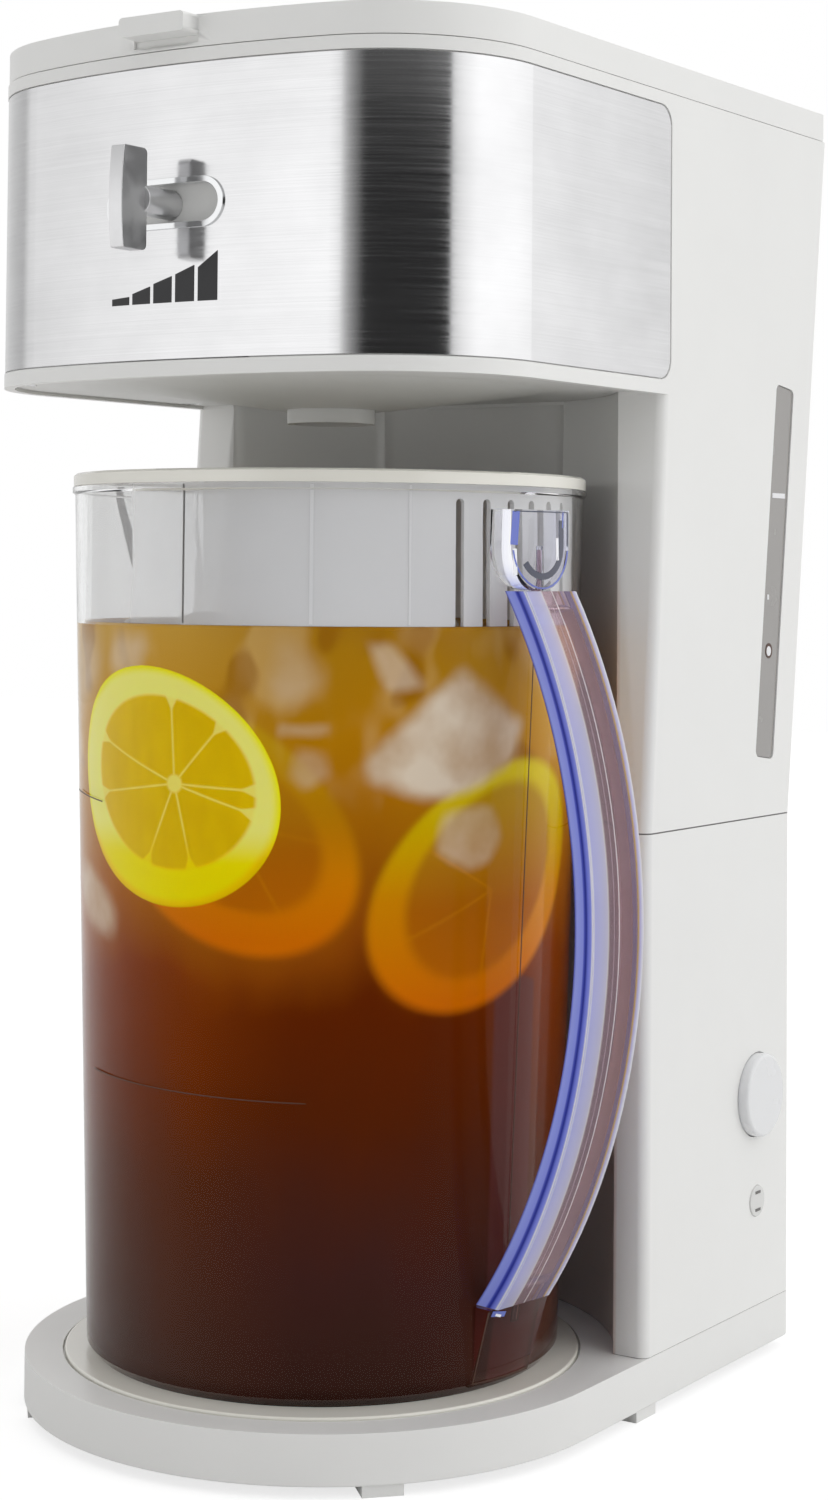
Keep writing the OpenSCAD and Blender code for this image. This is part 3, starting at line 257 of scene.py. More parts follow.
class Paint(Graph):
    """A procedural material: a Principled shader and the nodes that feed it."""

    def __init__(self, name):
        self.material = bpy.data.materials.new(name)
        self.material.use_nodes = True
        super().__init__(self.material.node_tree)
        self.shader = self.tree.nodes["Principled BSDF"]
        self.surface = self.tree.nodes["Material Output"].inputs["Surface"]
        self.place = self.node("ShaderNodeTexCoord").outputs["Object"]

    def set(self, **values):
        """Sets or links sockets of the shader, with _ for a space in a socket's name."""
        for key, value in values.items():
            self.feed(self.shader.inputs[key.replace("_", " ")], value)

    def shades(self, value, *stops):
        """A ramp through 8-bit display colours, each stop a position and its colour."""
        return self.ramp(value, [(position, linear(*colour)) for position, *colour in stops])

    def noise(self, scale, detail=2.0, stretch=None, output="Fac"):
        made = self.node("ShaderNodeTexNoise")
        made.inputs["Scale"].default_value = scale
        made.inputs["Detail"].default_value = detail
        place = self.place
        if stretch:
            mapping = self.node("ShaderNodeMapping")
            mapping.inputs["Scale"].default_value = stretch
            self.feed(mapping.inputs["Vector"], place)
            place = mapping.outputs[0]
        self.feed(made.inputs["Vector"], place)
        return made.outputs[output]

    def cloud(self, low, high, *look):
        """Noise that spans a range."""
        return self.fit(self.noise(*look), 0.3, 0.7, low, high)

    def bump(self, height, strength, distance):
        made = self.node("ShaderNodeBump")
        made.inputs["Strength"].default_value = strength
        made.inputs["Distance"].default_value = distance * MM
        self.feed(made.inputs["Height"], height)
        return made.outputs["Normal"]

    def placed(self, vector, centre, turn=0, scale=(1, 1, 1)):
        """A place from a centre, turned back by some degrees and divided by a scale."""
        made = self.node("ShaderNodeMapping", vector_type="TEXTURE")
        self.feed_all(made, vector, centre, (0, 0, math.radians(turn)), scale)
        return made.outputs[0]

    def from_axis(self, turn=0):
        """The place in millimetres about the pitcher axis, turned back by some degrees."""
        return self.placed(self.place, AXIS, turn, (MM, MM, MM))

    def along_wall(self):
        """Millimetres along the pitcher's wall, from FILL_FRONT, and height."""
        x, y, z = self.split(self.from_axis(FILL_FRONT))
        return self.join(self.times(self.math("ARCTAN2", y, x), FILL_R), z)

    def patch(self, vector, corners, blur):
        """1 inside a convex outline listed clockwise, fading over the blur at its edge."""
        share = 1.0
        for (x0, y0), (x1, y1) in zip(corners, corners[1:] + corners[:1]):
            length = math.hypot(x1 - x0, y1 - y0)
            inwards = ((y1 - y0) / length, (x0 - x1) / length, 0)
            depth = self.vector("DOT_PRODUCT", vector, inwards)["Value"]
            edge = inwards[0] * x0 + inwards[1] * y0
            inside = self.fade(depth, edge - blur, edge + blur, 0, 1)
            share = self.times(share, inside)
        return share

    def spokes(self, vector, centre, angles, width):
        """1 on thin lines that leave a centre at the given angles."""
        share = 0.0
        for angle in angles:
            forward, across, _ = self.split(self.placed(vector, (*centre, 0), angle))
            ahead = self.fit(forward, -0.5, 0.5, 0, 1)
            beside = self.math("SUBTRACT", self.math("ABSOLUTE", across), width)
            line = self.times(self.fade(beside, -0.35, 0.35, 1, 0), ahead)
            share = self.math("MAXIMUM", share, line)
        return share

    def oval(self, vector, centre, half_size, tilt=0):
        """Distance from an oval's centre, 1 on its outline."""
        place = self.placed(vector, (*centre, 0), tilt, (*half_size, 1))
        return self.vector("LENGTH", place)["Value"]


def shade(colour, factor):
    """A linear colour made lighter or darker."""
    return tuple(min(1, c * factor) for c in colour[:3]) + (1,)


def moulded_paint(name, colour, roughness, spread=0.02, grain=0.06, coat=0.0):
    """Moulded plastic: faint cloudy colour and gloss changes, and a very fine skin."""
    paint = Paint(name)
    dark = shade(colour, 1 - spread)
    light = shade(colour, 1 + spread)
    paint.set(
        Base_Color=paint.mix(paint.cloud(0, 1, 35, 3), dark, light),
        Roughness=paint.cloud(roughness - 0.04, roughness + 0.04, 120),
        Normal=paint.bump(paint.noise(2600), grain, 0.03),
        IOR=1.49,
        Coat_Weight=coat,
        Coat_Roughness=0.12,
    )
    return paint


def moulded(*look):
    return moulded_paint(*look).material


def metal(name, colour, roughness):
    paint = Paint(name)
    paint.set(
        Base_Color=paint.mix(paint.noise(60, 3), shade(colour, 0.96), shade(colour, 1.04)),
        Roughness=paint.cloud(roughness - 0.03, roughness + 0.05, 300, 3),
        Metallic=1.0,
    )
    return paint.material


def brushed_steel():
    """Satin steel with very fine level brush lines round the head, and faint cloudy patches."""
    paint = Paint("band_steel")
    lines = paint.noise(1, 5, (14, 14, 6400))
    clouds = paint.noise(38, 4, (1, 1, 1.6))
    tone = paint.math("ADD", paint.times(lines, 0.45), paint.times(clouds, 0.55))
    tone = paint.fit(tone, 0.35, 0.65, 0, 1)
    paint.set(
        Base_Color=paint.mix(tone, linear(217, 217, 218), linear(229, 229, 230)),
        Metallic=1.0,
        Roughness=paint.cloud(0.09, 0.16, 1, 2, (22, 22, 1500)),
        Normal=paint.bump(lines, 0.025, 0.04),
        Anisotropic=0.5,
    )
    return paint.material


def clear(name, colour, roughness=0.03, ior=1.49, gloss=0.35):
    """Clear moulded plastic that bends the light, with faint flow waves in its skin."""
    paint = Paint(name)
    paint.set(
        Base_Color=paint.mix(paint.noise(20), shade(colour, 0.99), colour),
        Roughness=paint.cloud(roughness * 0.6, roughness, 90),
        Normal=paint.bump(paint.noise(70, 1), 0.04, 0.4),
        Specular_Tint=(gloss, gloss, gloss, 1),
        Transmission_Weight=1.0,
        IOR=ior,
    )
    return paint


def let_light_in(paint):
    """Light on its way to what lies behind passes straight through; the eye sees the plastic."""
    through = paint.node("ShaderNodeBsdfTransparent")
    through.inputs["Color"].default_value = (0.93, 0.93, 0.93, 1)
    kinds = ("Is Shadow Ray", "Is Diffuse Ray")
    paint.for_rays(kinds, paint.surface, paint.shader.outputs[0], through.outputs[0])


def pitcher_wall():
    """The clear wall, with painted refraction: the tea's brown seen through its thick foot and the
    handle's heel.
    """
    glass = (0.985, 0.99, 0.99, 1)
    paint = clear("clear_glass", glass, gloss=0.06)
    out, _, height = paint.split(paint.from_axis(TURN))
    foot = paint.fade(height, 19.5, 24, 0.6, 0)
    heel = paint.times(paint.fit(height, 41, 44, 0.9, 0), paint.fit(out, 67.2, 68.2, 0, 1))
    colour = paint.mix(paint.math("MAXIMUM", foot, heel), glass, linear(140, 84, 58))
    # Painted light: the socket's thick edges gather blue where the wall turns away
    socket = paint.times(paint.fit(height, 224, 228, 0, 1), paint.fit(out, 73.4, 74.4, 0, 1))
    facing = paint.node("ShaderNodeLayerWeight").outputs["Facing"]
    edge = paint.fit(facing, 0.3, 0.75, 0.12, 1)
    paint.set(Base_Color=paint.mix(paint.times(socket, edge), colour, linear(96, 112, 214)))
    let_light_in(paint)
    return paint.material


def tower_plastic():
    """White plastic, with the tea's brown light and shade painted on it in the hollow round the
    pitcher.
    """
    paint = moulded_paint("tower_plastic", linear(238, 238, 236), 0.32, 0.008)
    x, y, z = paint.split(paint.from_axis())
    near = paint.fit(paint.length(x, y), BAY_R + 0.2, BAY_R + 1, 0.4, 0)
    under = paint.fade(z, 190, 268, 1, 0)
    inside = paint.fit(x, HALF_W - 3, HALF_W - 0.5, 1, 0)
    # Painted light and shade from the tea: a darker brown on the hollow's face, fading out above
    # and towards the sides
    painted_tea_light = paint.times(paint.times(near, under), inside)
    white = paint.shader.inputs["Base Color"].links[0].from_socket
    paint.set(Base_Color=paint.mix(painted_tea_light, white, linear(188, 136, 112)))
    return paint.material


def handle_side():
    """The handle's outer sides: painted light in blue and lilac bands that follow its arc, by
    depth from inside, with a white painted highlight near the outer edge.
    """
    paint = clear("handle_side", (1, 1, 1, 1), 0.08, 1.25, 0.7)
    x, _, z = paint.split(paint.from_axis(TURN))
    dx = paint.math("SUBTRACT", x, HANDLE_X)
    dz = paint.math("SUBTRACT", z, HANDLE_Z)
    reach = paint.math("ADD", paint.length(dx, dz), paint.cloud(-0.25, 0.25, 9))
    bands = paint.shades(
        paint.fit(reach, HANDLE_R - HANDLE_D, HANDLE_R, 0, 1),
        (0.0, 46, 50, 120), (0.05, 120, 128, 224), (0.12, 164, 176, 255),
        (0.44, 150, 162, 252), (0.5, 86, 98, 216), (0.57, 50, 60, 164),
        (0.62, 50, 60, 164), (0.7, 112, 124, 232), (0.86, 150, 160, 248),
        (0.92, 250, 250, 255), (1.0, 200, 204, 250),
    )
    paint.set(Base_Color=bands, Transmission_Weight=0.1)
    return paint.material


def handle_web():
    """The handle's broad faces: milky edges, a white seam and clear lilac brown between them. The
    lilac brown is painted refraction of the tea behind it, and the thin white lines are painted
    highlights.
    """
    paint = clear("handle_clear", (1, 1, 1, 1), 0.08, 1.25, 0.7)
    y = paint.split(paint.from_axis(TURN))["Y"]
    wavy = paint.math("ADD", y, paint.cloud(-0.25, 0.25, 9))
    across = paint.fit(wavy, -HANDLE_HALF, HANDLE_HALF, 0, 1)
    bands = paint.shades(
        across,
        (0.0, 250, 250, 255), (0.03, 196, 198, 246), (0.2, 206, 206, 240),
        (0.27, 214, 212, 236), (0.29, 255, 255, 255), (0.31, 214, 190, 200),
        (0.49, 210, 184, 196), (0.505, 252, 250, 252), (0.52, 208, 180, 190),
        (0.86, 204, 174, 182), (0.89, 226, 186, 96), (0.93, 202, 200, 246),
        (0.98, 250, 250, 255),
    )
    left = paint.fit(across, 0.27, 0.33, 1, 0)
    right = paint.fit(across, 0.85, 0.9, 0, 1)
    milk = paint.math("MAXIMUM", left, right)
    seam = paint.fit(paint.off(across, 0.505), 0.006, 0.014, 1, 0)
    body = paint.fit(paint.math("MAXIMUM", milk, seam), 0, 1, 0.8, 0.35)
    paint.set(Base_Color=bands, Transmission_Weight=body)
    return paint.material


def milky_paint(name, colour, roughness):
    """Translucent plastic, whose alpha shows part of what lies behind it."""
    paint = Paint(name)
    paint.set(
        Base_Color=paint.mix(paint.noise(50, 3), shade(colour, 0.97), colour),
        Roughness=paint.cloud(roughness - 0.04, roughness + 0.04, 160),
        Normal=paint.bump(paint.noise(1500), 0.05, 0.03),
        IOR=1.4,
        Specular_IOR_Level=0.2,
    )
    return paint


def tank_milk():
    paint = milky_paint("tank_plastic", linear(238, 242, 242), 0.35)
    paint.set(Alpha=paint.cloud(0.68, 0.72, 30))
    return paint.material


def skirt_frost():
    """The skirt's frost, densest between the handle and the tower and thin elsewhere."""
    paint = milky_paint("frosted_plastic", linear(252, 252, 254), 0.4)
    along = paint.split(paint.along_wall())["X"]
    along = paint.math("ADD", along, paint.cloud(-4, 4, 30))
    paint.set(Alpha=paint.fade(paint.off(along, 72), 66, 144, 0.74, 0.2))
    return paint.material


def fine_mesh():
    """Gold-coloured sheet with rows of etched holes."""
    paint = Paint("mesh_brass")
    cells = paint.node("ShaderNodeTexVoronoi")
    cells.inputs["Scale"].default_value = 900
    cells.inputs["Randomness"].default_value = 0.1
    paint.feed(cells.inputs["Vector"], paint.place)
    hole = paint.fit(cells.outputs["Distance"], 0.25, 0.4, 0, 1)
    paint.set(
        Base_Color=paint.mix(hole, linear(70, 58, 34), linear(206, 176, 112)),
        Metallic=0.8,
        Roughness=0.4,
        Normal=paint.bump(hole, 0.4, 0.2),
    )
    return paint.material


def make_slots():
    """The materials of the record's slots, by name."""
    cream = linear(238, 236, 227)
    window = linear(152, 149, 146)
    slots = (
        moulded("white_plastic", linear(238, 238, 236), 0.32, 0.008),
        moulded("base_plastic", linear(236, 236, 234), 0.34, 0.008),
        moulded("grey_plastic", linear(226, 226, 224), 0.42, 0.015),
        moulded("cream_plastic", cream, 0.22, 0.01, 0.04, 0.3),
        moulded("rubber_feet", linear(232, 232, 230), 0.6, 0.03, 0.1),
        moulded("gland_rubber", linear(222, 222, 220), 0.6, 0.03, 0.1),
        moulded("hose_rubber", linear(214, 218, 222), 0.45, 0.03, 0.1),
        metal("steel", linear(236, 237, 238), 0.25),
        brushed_steel(),
        metal("trim_chrome", linear(232, 233, 234), 0.12),
        metal("knob_plastic", linear(226, 226, 227), 0.32),
        fine_mesh(),
        metal("fuse_brass", linear(216, 190, 130), 0.3),
        tank_milk(),
        moulded("window_plastic", window, 0.24, 0.02, 0.03, 0.5),
        moulded("float_plastic", linear(246, 246, 246), 0.3, 0.02),
        metal("heater_aluminium", linear(204, 206, 208), 0.42),
        moulded("black_plastic", linear(44, 44, 46), 0.45, 0.05),
        moulded("lamp_red", linear(196, 84, 50), 0.2, 0.04),
        pitcher_wall(),
        handle_web(),
        skirt_frost(),
    )
    return {slot.name.split(".")[0]: slot for slot in slots}


SLOTS = make_slots()
HANDLE_SIDE = handle_side()
TOWER = tower_plastic()
INK = moulded("line_ink", linear(72, 40, 20), 0.4, 0.03)
PALE_INK = moulded("pale_ink", linear(236, 236, 238), 0.4, 0.02)
GREY_INK = moulded("grey_ink", linear(112, 110, 108), 0.5, 0.03)
BUTTON = moulded("button", linear(233, 234, 235), 0.25, 0.01, 0.04, 0.3)
NAVY = moulded("navy_line", linear(42, 48, 74), 0.15, 0.1, 0.02, 0.6)
ROYAL = moulded("royal_line", linear(92, 108, 196), 0.15, 0.1, 0.02, 0.6)
GLINT = moulded("glint", linear(248, 249, 255), 0.15, 0.01, 0.02, 0.6)
LENS = moulded("lens", linear(222, 222, 220), 0.25, 0.02)
# Painted shade for the narrow gaps of the seams, laid on the small slopes there
SEAM_SHADE = moulded("groove", linear(120, 119, 117), 0.7, 0.03)


# Mesh helpers

# How a CAD mesh is cleaned, and how sharp an edge has to be to get rounded
MERGE = 0.003
FLAT_DEGREES = 0.2
EDGE_DEGREES = 40


def add_object(name, data):
    made = bpy.data.objects.new(name, data)
    bpy.context.scene.collection.objects.link(made)
    return made


def piece(name, mesh, body, material):
    """An object for a mesh, which rides on a body and may take a slot of the record."""
    made = add_object(name, mesh)
    made.data.materials.append(material)
    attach(made, body)
    return made


def to_mesh(name, bm, sharp_from):
    """A mesh from a bmesh, shaded smooth up to an angle."""
    mesh = bpy.data.meshes.new(name)
    bm.to_mesh(mesh)
    bm.free()
    mesh.polygons.foreach_set("use_smooth", [True] * len(mesh.polygons))
    mesh.set_sharp_from_angle(angle=math.radians(sharp_from))
    return mesh


def add_piece(name, bm, body, material, sharp_from=35):
    """A piece whose faces all look outwards."""
    bmesh.ops.recalc_face_normals(bm, faces=bm.faces[:])
    piece(name, to_mesh(name, bm, sharp_from), body, material)


def stitch(bm, *rows):
    """Joins each ring of vertices to the next one with quads."""
    for low, high in zip(rows, rows[1:]):
        for k in range(len(low)):
            nxt = (k + 1) % len(low)
            bm.faces.new((low[k], low[nxt], high[nxt], high[k]))


def fan(bm, ring, hub):
    """Closes a ring of vertices with triangles to its hub."""
    for k in range(len(ring)):
        bm.faces.new((ring[k], ring[(k + 1) % len(ring)], hub))


def sheet_through(bm, rings):
    """A sheet through rings of points, as its rings of vertices."""
    grid = [[bm.verts.new(point) for point in ring] for ring in rings]
    stitch(bm, *grid)
    return grid


def tube(bm, rings):
    """A sheet through rings of points, with a face at each end."""
    grid = sheet_through(bm, rings)
    bm.faces.new(grid[0])
    bm.faces.new(grid[-1][::-1])


def rounded(node, steps, groove=None):
    """A copy of a CAD node whose picked edges are rounded. Each step is (pick, width, segments),
    and groove picks the faces that take the second material."""
    source = NODES[node]
    bm = bmesh.new()
    bm.from_mesh(source.data)
    bmesh.ops.remove_doubles(bm, verts=bm.verts[:], dist=MERGE * MM)
    flat = math.radians(FLAT_DEGREES)
    bmesh.ops.dissolve_limit(bm, angle_limit=flat, verts=bm.verts[:], edges=bm.edges[:])
    for pick, width, segments in steps:
        edges = []
        for edge in bm.edges:
            if len(edge.link_faces) != 2 or not edge.is_convex:
                continue
            sharp = edge.calc_face_angle(0) >= math.radians(EDGE_DEGREES)
            if sharp and pick(*[in_mm(v.co) for v in edge.verts]):
                edges.append(edge)
        bmesh.ops.bevel(
            bm,
            geom=edges,
            offset=width * MM,
            segments=segments,
            profile=0.5,
            affect="EDGES",
            clamp_overlap=True,
        )
    for face in bm.faces:
        middle = in_mm(face.calc_center_median())
        face.material_index = 1 if groove and groove(middle, face.normal) else 0
    name = node + "_skin"
    slot = source.data.materials[0].name.split(".")[0]
    made = piece(name, to_mesh(name, bm, 30), source["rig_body"], SLOTS[slot])
    shading = made.modifiers.new("flat_faces", "WEIGHTED_NORMAL")
    shading.keep_sharp = True
    shading.weight = 60
    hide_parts(node)
    return made


def level(z, slack=0.05):
    """Picks edges that lie level at height z."""
    return lambda a, b: abs(a.z - z) < slack and abs(b.z - z) < slack


def everywhere(a, b):
    return True


def button_face(a, b):
    """Picks the edges of the button's outer face."""
    proud = 3
    return a.x > HALF_W + proud


def seam_face(middle, normal):
    """The small slopes along the tower's seams and the one under the lid, which take the seams'
    painted shade.
    """
    reach = 0.45
    level_from = 0.95
    away = min(abs(middle.z - seam) for seam in (BASE_HIGH, TOWER_SEAM, HEAD_HIGH))
    return away < reach and abs(normal.z) < level_from


def handle_flank(middle, normal):
    """The faces on the handle's two outer sides."""
    turn = math.radians(TURN)
    edge = HANDLE_HALF - 0.7

    def sideways(vector):
        return abs(vector.y * math.cos(turn) - vector.x * math.sin(turn))

    return sideways(normal) > 0.5 and sideways(middle) > edge


# Pieces of the machine


def dress_nodes():
    """Gives every CAD node that stays its procedural material."""
    for node in NODES.values():
        for k, old in enumerate(node.data.materials):
            node.data.materials[k] = SLOTS[old.name.split(".")[0]]


def dress_tower(skin):
    """Gives a tower skin the plastic with the tea's light painted on it, and seams with painted
    shade.
    """
    skin.data.materials[0] = TOWER
    skin.data.materials.append(SEAM_SHADE)


def printed_bars():
    """Five bars of growing height, printed on the band under the selector."""
    bm = bmesh.new()
    left = -17.8
    width = 6.15
    pitch = 7.4
    low = 307
    proud = 0.12
    sunk = 0.3
    steps = 6
    heights = ((1.8, 2.2), (2.9, 4.6), (5.2, 7.0), (7.4, 9.6), (8.9, 13.1))
    for k, (left_high, right_high) in enumerate(heights):
        rows = []
        for step in range(steps + 1):
            share = step / steps
            x = left + k * pitch + width * share
            top = low + left_high + (right_high - left_high) * share
            band = ARC_Y - math.sqrt((FRONT_ARC - BAND_IN) ** 2 - x * x)
            corners = ((-proud, low), (-proud, top), (sunk, top), (sunk, low))
            rows.append([at(x, band + deep, z) for deep, z in corners])
        tube(bm, rows)
    add_piece("strength_bars", bm, "machine", SLOTS["black_plastic"])


def wall_radius(z):
    """Radius of the pitcher's outer wall at height z."""
    return FOOT_R + (z - FOOT_Z) * TAPER


def skirt_radius(z):
    return SKIRT_R


def socket_radius(z):
    return SOCKET_R


def heel_radius(z):
    return HEEL_LOW_R + (z - HEEL_LOW) * (HEEL_HIGH_R - HEEL_LOW_R) / (HEEL_HIGH - HEEL_LOW)


def wall_line(name, places, width, ink, radius=wall_radius, proud=0.04, body="pitcher"):
    """A thin line through (azimuth, height) places, a little proud of a round wall."""
    bm = bmesh.new()
    thick = 0.12
    rows = []
    for k, (azimuth, z) in enumerate(places):
        before = places[max(0, k - 1)]
        after = places[min(len(places) - 1, k + 1)]
        run = math.radians(after[0] - before[0]) * FILL_R
        rise = after[1] - before[1]
        length = math.hypot(run, rise)
        across = (-rise / length * width / 2, run / length * width / 2)
        row = []
        for side, deep in ((-1, 0), (1, 0), (1, thick), (-1, thick)):
            turn = azimuth + math.degrees(side * across[0] / FILL_R)
            high = z + side * across[1]
            row.append(polar(radius(high) + proud + deep, turn, high))
        rows.append(row)
    tube(bm, rows)
    add_piece(name, bm, body, ink)


def between(first, last, count):
    """Places spaced evenly from the first to the last."""
    return [
        tuple(a + (b - a) * k / (count - 1) for a, b in zip(first, last))
        for k in range(count)
    ]


def pitcher_lines():
    """The mould's parting line, the measure lines and the skirt's ribs."""
    wall_line("parting_line", between((-4.6, 214), (-7.4, 44), 12), 0.3, INK)
    wall_line("measure_line_high", between((-132, 174.2), (-114, 172.6), 12), 0.3, INK)
    wall_line("measure_line_low", between((-121, 98.6), (-58.5, 97), 30), 0.3, INK)
    ribs = ((-88, 0.5, GREY_INK), (-58.4, 0.9, PALE_INK), (-37, 0.6, PALE_INK))
    for k, (azimuth, width, ink) in enumerate(ribs):
        rib = between((azimuth, SKIRT_LOW + 0.5), (azimuth, SKIRT_RIB_HIGH), 3)
        wall_line(f"skirt_rib_{k}", rib, width, ink, skirt_radius, 0.02, "pitcher_cap")


def socket_arc(radius, first, last):
    """Places on a round bottom of the handle's socket, its angles measured from the right."""
    places = []
    steps = 16
    for k in range(steps + 1):
        turn = math.radians(first + (last - first) * k / steps)
        azimuth = TURN + math.degrees(radius * math.cos(turn) / SOCKET_R)
        places.append((azimuth, SOCKET_MID + radius * math.sin(turn)))
    return places


def handle_end_lines():
    """Painted shade and highlights: dark and bright lines on the wall where the thick clear ends
    of the handle bend the light.
    """

    def stroke(name, first, last, count, width, ink, radius=socket_radius, proud=0.04):
        """A line between two places, given from the handle's azimuth."""
        places = between((TURN + first[0], first[1]), (TURN + last[0], last[1]), count)
        wall_line(name, places, width, ink, radius, proud)

    high = SOCKET_HIGH
    bowl = [*socket_arc(8.2, 214, 360), (TURN + 5.8, SOCKET_MID + 7)]
    wall_line("socket_u", bowl, 1.8, NAVY, socket_radius)
    wall_line("socket_rim", socket_arc(11.4, 186, 354), 0.5, ROYAL, socket_radius)
    stroke("socket_top", (-8, high), (8, high), 9, 0.35, NAVY)
    stroke("socket_right", (8, high), (8.1, SOCKET_MID), 3, 0.55, NAVY)
    stroke("socket_right_inner", (6.4, high), (6.2, SOCKET_MID + 5), 3, 0.4, ROYAL)
    stroke("socket_left", (-7.4, high), (-7.9, high - 9), 3, 2.2, ROYAL)
    stroke("socket_left_glint", (-7.7, high - 10), (-7.5, high - 17), 3, 1.2, GLINT)
    stroke("socket_right_glint", (4.4, high - 7), (4.6, high - 13), 3, 1.0, GLINT)
    stroke("heel_left", (-9.4, 40.6), (-9.4, 20.4), 5, 0.4, INK, heel_radius)
    stroke("heel_low", (-9.4, 20.3), (9, 20.3), 9, 0.35, INK, heel_radius)
    stroke("heel_blue", (-8.4, 40), (-4.6, 39.2), 4, 1.5, ROYAL, heel_radius)
    stroke("heel_glint", (-7.4, 39.6), (-5.8, 38.9), 3, 0.7, GLINT, heel_radius, 0.1)


def side_mark(name, x, outline, ink, body="machine", sunk=0.3):
    """A thin printed mark on the machine's right side, its outline in Y and Z."""
    bm = bmesh.new()
    proud = 0.12
    tube(bm, [[at(x + out, y, z) for y, z in outline] for out in (proud, -sunk)])
    add_piece(name, bm, body, ink)


def box_outline(y, z, width, high):
    return [
        (y + width / 2 * side_y, z + high / 2 * side_z)
        for side_y, side_z in ((-1, -1), (1, -1), (1, 1), (-1, 1))
    ]


def disc_outline(y, z, radius):
    steps = 32
    turns = [math.tau * k / steps for k in range(steps)]
    return [(y + radius * math.cos(turn), z + radius * math.sin(turn)) for turn in turns]


def window_marks():
    """The full line, a tick and the float's ring on the window, and the lens's two slots."""
    _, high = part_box("tank_window")
    face = in_mm(high).x
    side_mark("window_full_line", face, box_outline(119.2, 260.4, 8.6, 1.5), PALE_INK)
    side_mark("window_tick", face, box_outline(112.1, 229.2, 1.2, 1.6), PALE_INK)
    # The float's look, which travels with it along the window's face
    dark = disc_outline(112.7, 212.8, 2.3)
    pale = disc_outline(112.5, 212.7, 1.5)
    side_mark("float_ring", face, dark, INK, "water_float", -0.03)
    side_mark("float_ring_middle", face + 0.06, pale, PALE_INK, "water_float", 0)
    low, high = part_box("indicator_lens")
    middle = in_mm((low + high) / 2)
    face = in_mm(high).x
    for k, side in enumerate((-1, 1)):
        outline = box_outline(middle.y, middle.z + side * 2.6, 3.2, 0.8)
        side_mark(f"lens_slot_{k}", face, outline, GREY_INK)


# Tea, ice and lemon


# Ice that shows softly through the tea, its corners clockwise as places along the wall. The
# small pieces add the blur of their edge and their strength.
BIG_ICE = [
    (35.6, 210.4),
    (57.2, 194.7),
    (54.2, 186.1),
    (38, 177.6),
    (25.6, 175.8),
    (9.8, 181.8),
    (10.5, 187.8),
]
FLANK_ICE = [(-93, 152.7), (-78, 152.7), (-66, 142.6), (-68, 137.1), (-81, 137.1), (-93, 144.4)]
SLICE_ICE = [(30.9, 172.1), (46, 173.5), (50, 166.6), (46, 158.3), (39, 156.4), (28.6, 162)]
SMALL_ICE = (
    ([(-12, 217.3), (-2, 211.8), (-2.8, 204.4), (-11, 199.8), (-15.4, 203.5)], 3.96, 0.4),
    ([(-13.3, 195.6), (0, 196.1), (0, 193.3), (-13, 192.4)], 1.62, 0.35),
    ([(-7.7, 189.2), (-1, 188.7), (0.7, 182.3), (-5.6, 178.6), (-9, 182.3)], 2.34, 0.42),
    ([(9.8, 217.3), (16, 217.3), (25, 206.2), (15, 204.4)], 2.16, 0.45),
    (FLANK_ICE, 3.96, 0.7),
    ([(-92, 216.4), (-74, 217.3), (-76, 203.5), (-90, 197.9)], 6.3, 0.45),
    ([(-66, 219.2), (-52, 218.2), (-56, 206.2), (-68, 209)], 3.6, 0.45),
    ([(-104, 209), (-94, 206.2), (-92, 181.3), (-104, 181.3)], 4.5, 0.5),
    ([(44, 219.2), (112, 219.2), (112, 191.5), (66, 197.9), (60, 209)], 6.3, 0.5),
    ([(150, 206.2), (176, 209), (180, 183.2), (158, 177.6)], 4.68, 0.7),
    ([(-176, 201.6), (-150, 207.2), (-146, 185), (-168, 179.5)], 4.68, 0.7),
    ([(118, 183.2), (132, 185.9), (136, 174), (122, 170.3)], 2.88, 0.5),
)

# The height where the tea's colours start, and what they are multiplied by, because the wall
# and the head keep about half of the light off them
TEA_DARK_LOW = 20.7
TEA_LIFT = 1.3


def tea_ground(paint, wall):
    """Tea that is amber under the ice and dark brown below, and darkest in its middle: painted
    light and shade for the light that crosses the tea, with a painted dusky brown where its
    surface turns away.
    """
    along, height, _ = paint.split(wall)
    drift = paint.cloud(-9, 9, 22, 3, (1, 1, 0.5))
    share = paint.fit(paint.math("ADD", height, drift), TEA_DARK_LOW, TEA_LEVEL, 0, 1)
    middle = paint.shades(
        share,
        (0.0, 50, 29, 23), (0.17, 59, 30, 26), (0.26, 68, 30, 19), (0.36, 80, 29, 4),
        (0.5, 90, 30, 0), (0.585, 134, 66, 3), (0.72, 157, 97, 2), (0.83, 170, 114, 3),
        (0.95, 163, 115, 10), (1.0, 156, 110, 20),
    )
    flank = paint.shades(
        share,
        (0.0, 66, 42, 34), (0.26, 84, 40, 18), (0.42, 108, 44, 2), (0.54, 120, 50, 0),
        (0.65, 158, 90, 4), (0.86, 186, 136, 30), (1.0, 190, 150, 66),
    )
    # Painted light: the tea is lighter towards its sides
    side = paint.fade(paint.off(along, 12), 14, 62, 0, 0.9)
    colour = paint.mix(side, middle, flank)
    upper = paint.fade(height, 165, 190, 0, 1)
    floes = paint.fade(paint.noise(48, 2, (1, 1, 0.6)), 0.5, 0.62, 0, 0.3)
    colour = paint.mix(paint.times(floes, upper), colour, linear(214, 184, 130))
    hollows = paint.fade(paint.noise(62, 1, (1, 1, 0.7)), 0.36, 0.46, 0.5, 0)
    colour = paint.mix(paint.times(hollows, upper), colour, linear(128, 74, 2))
    # Painted shade at the tea's edges, where its surface turns away
    facing = paint.node("ShaderNodeLayerWeight").outputs["Facing"]
    edge = paint.fade(facing, 0.72, 1, 0, 0.55)
    return paint.mix(edge, colour, linear(150, 112, 84))


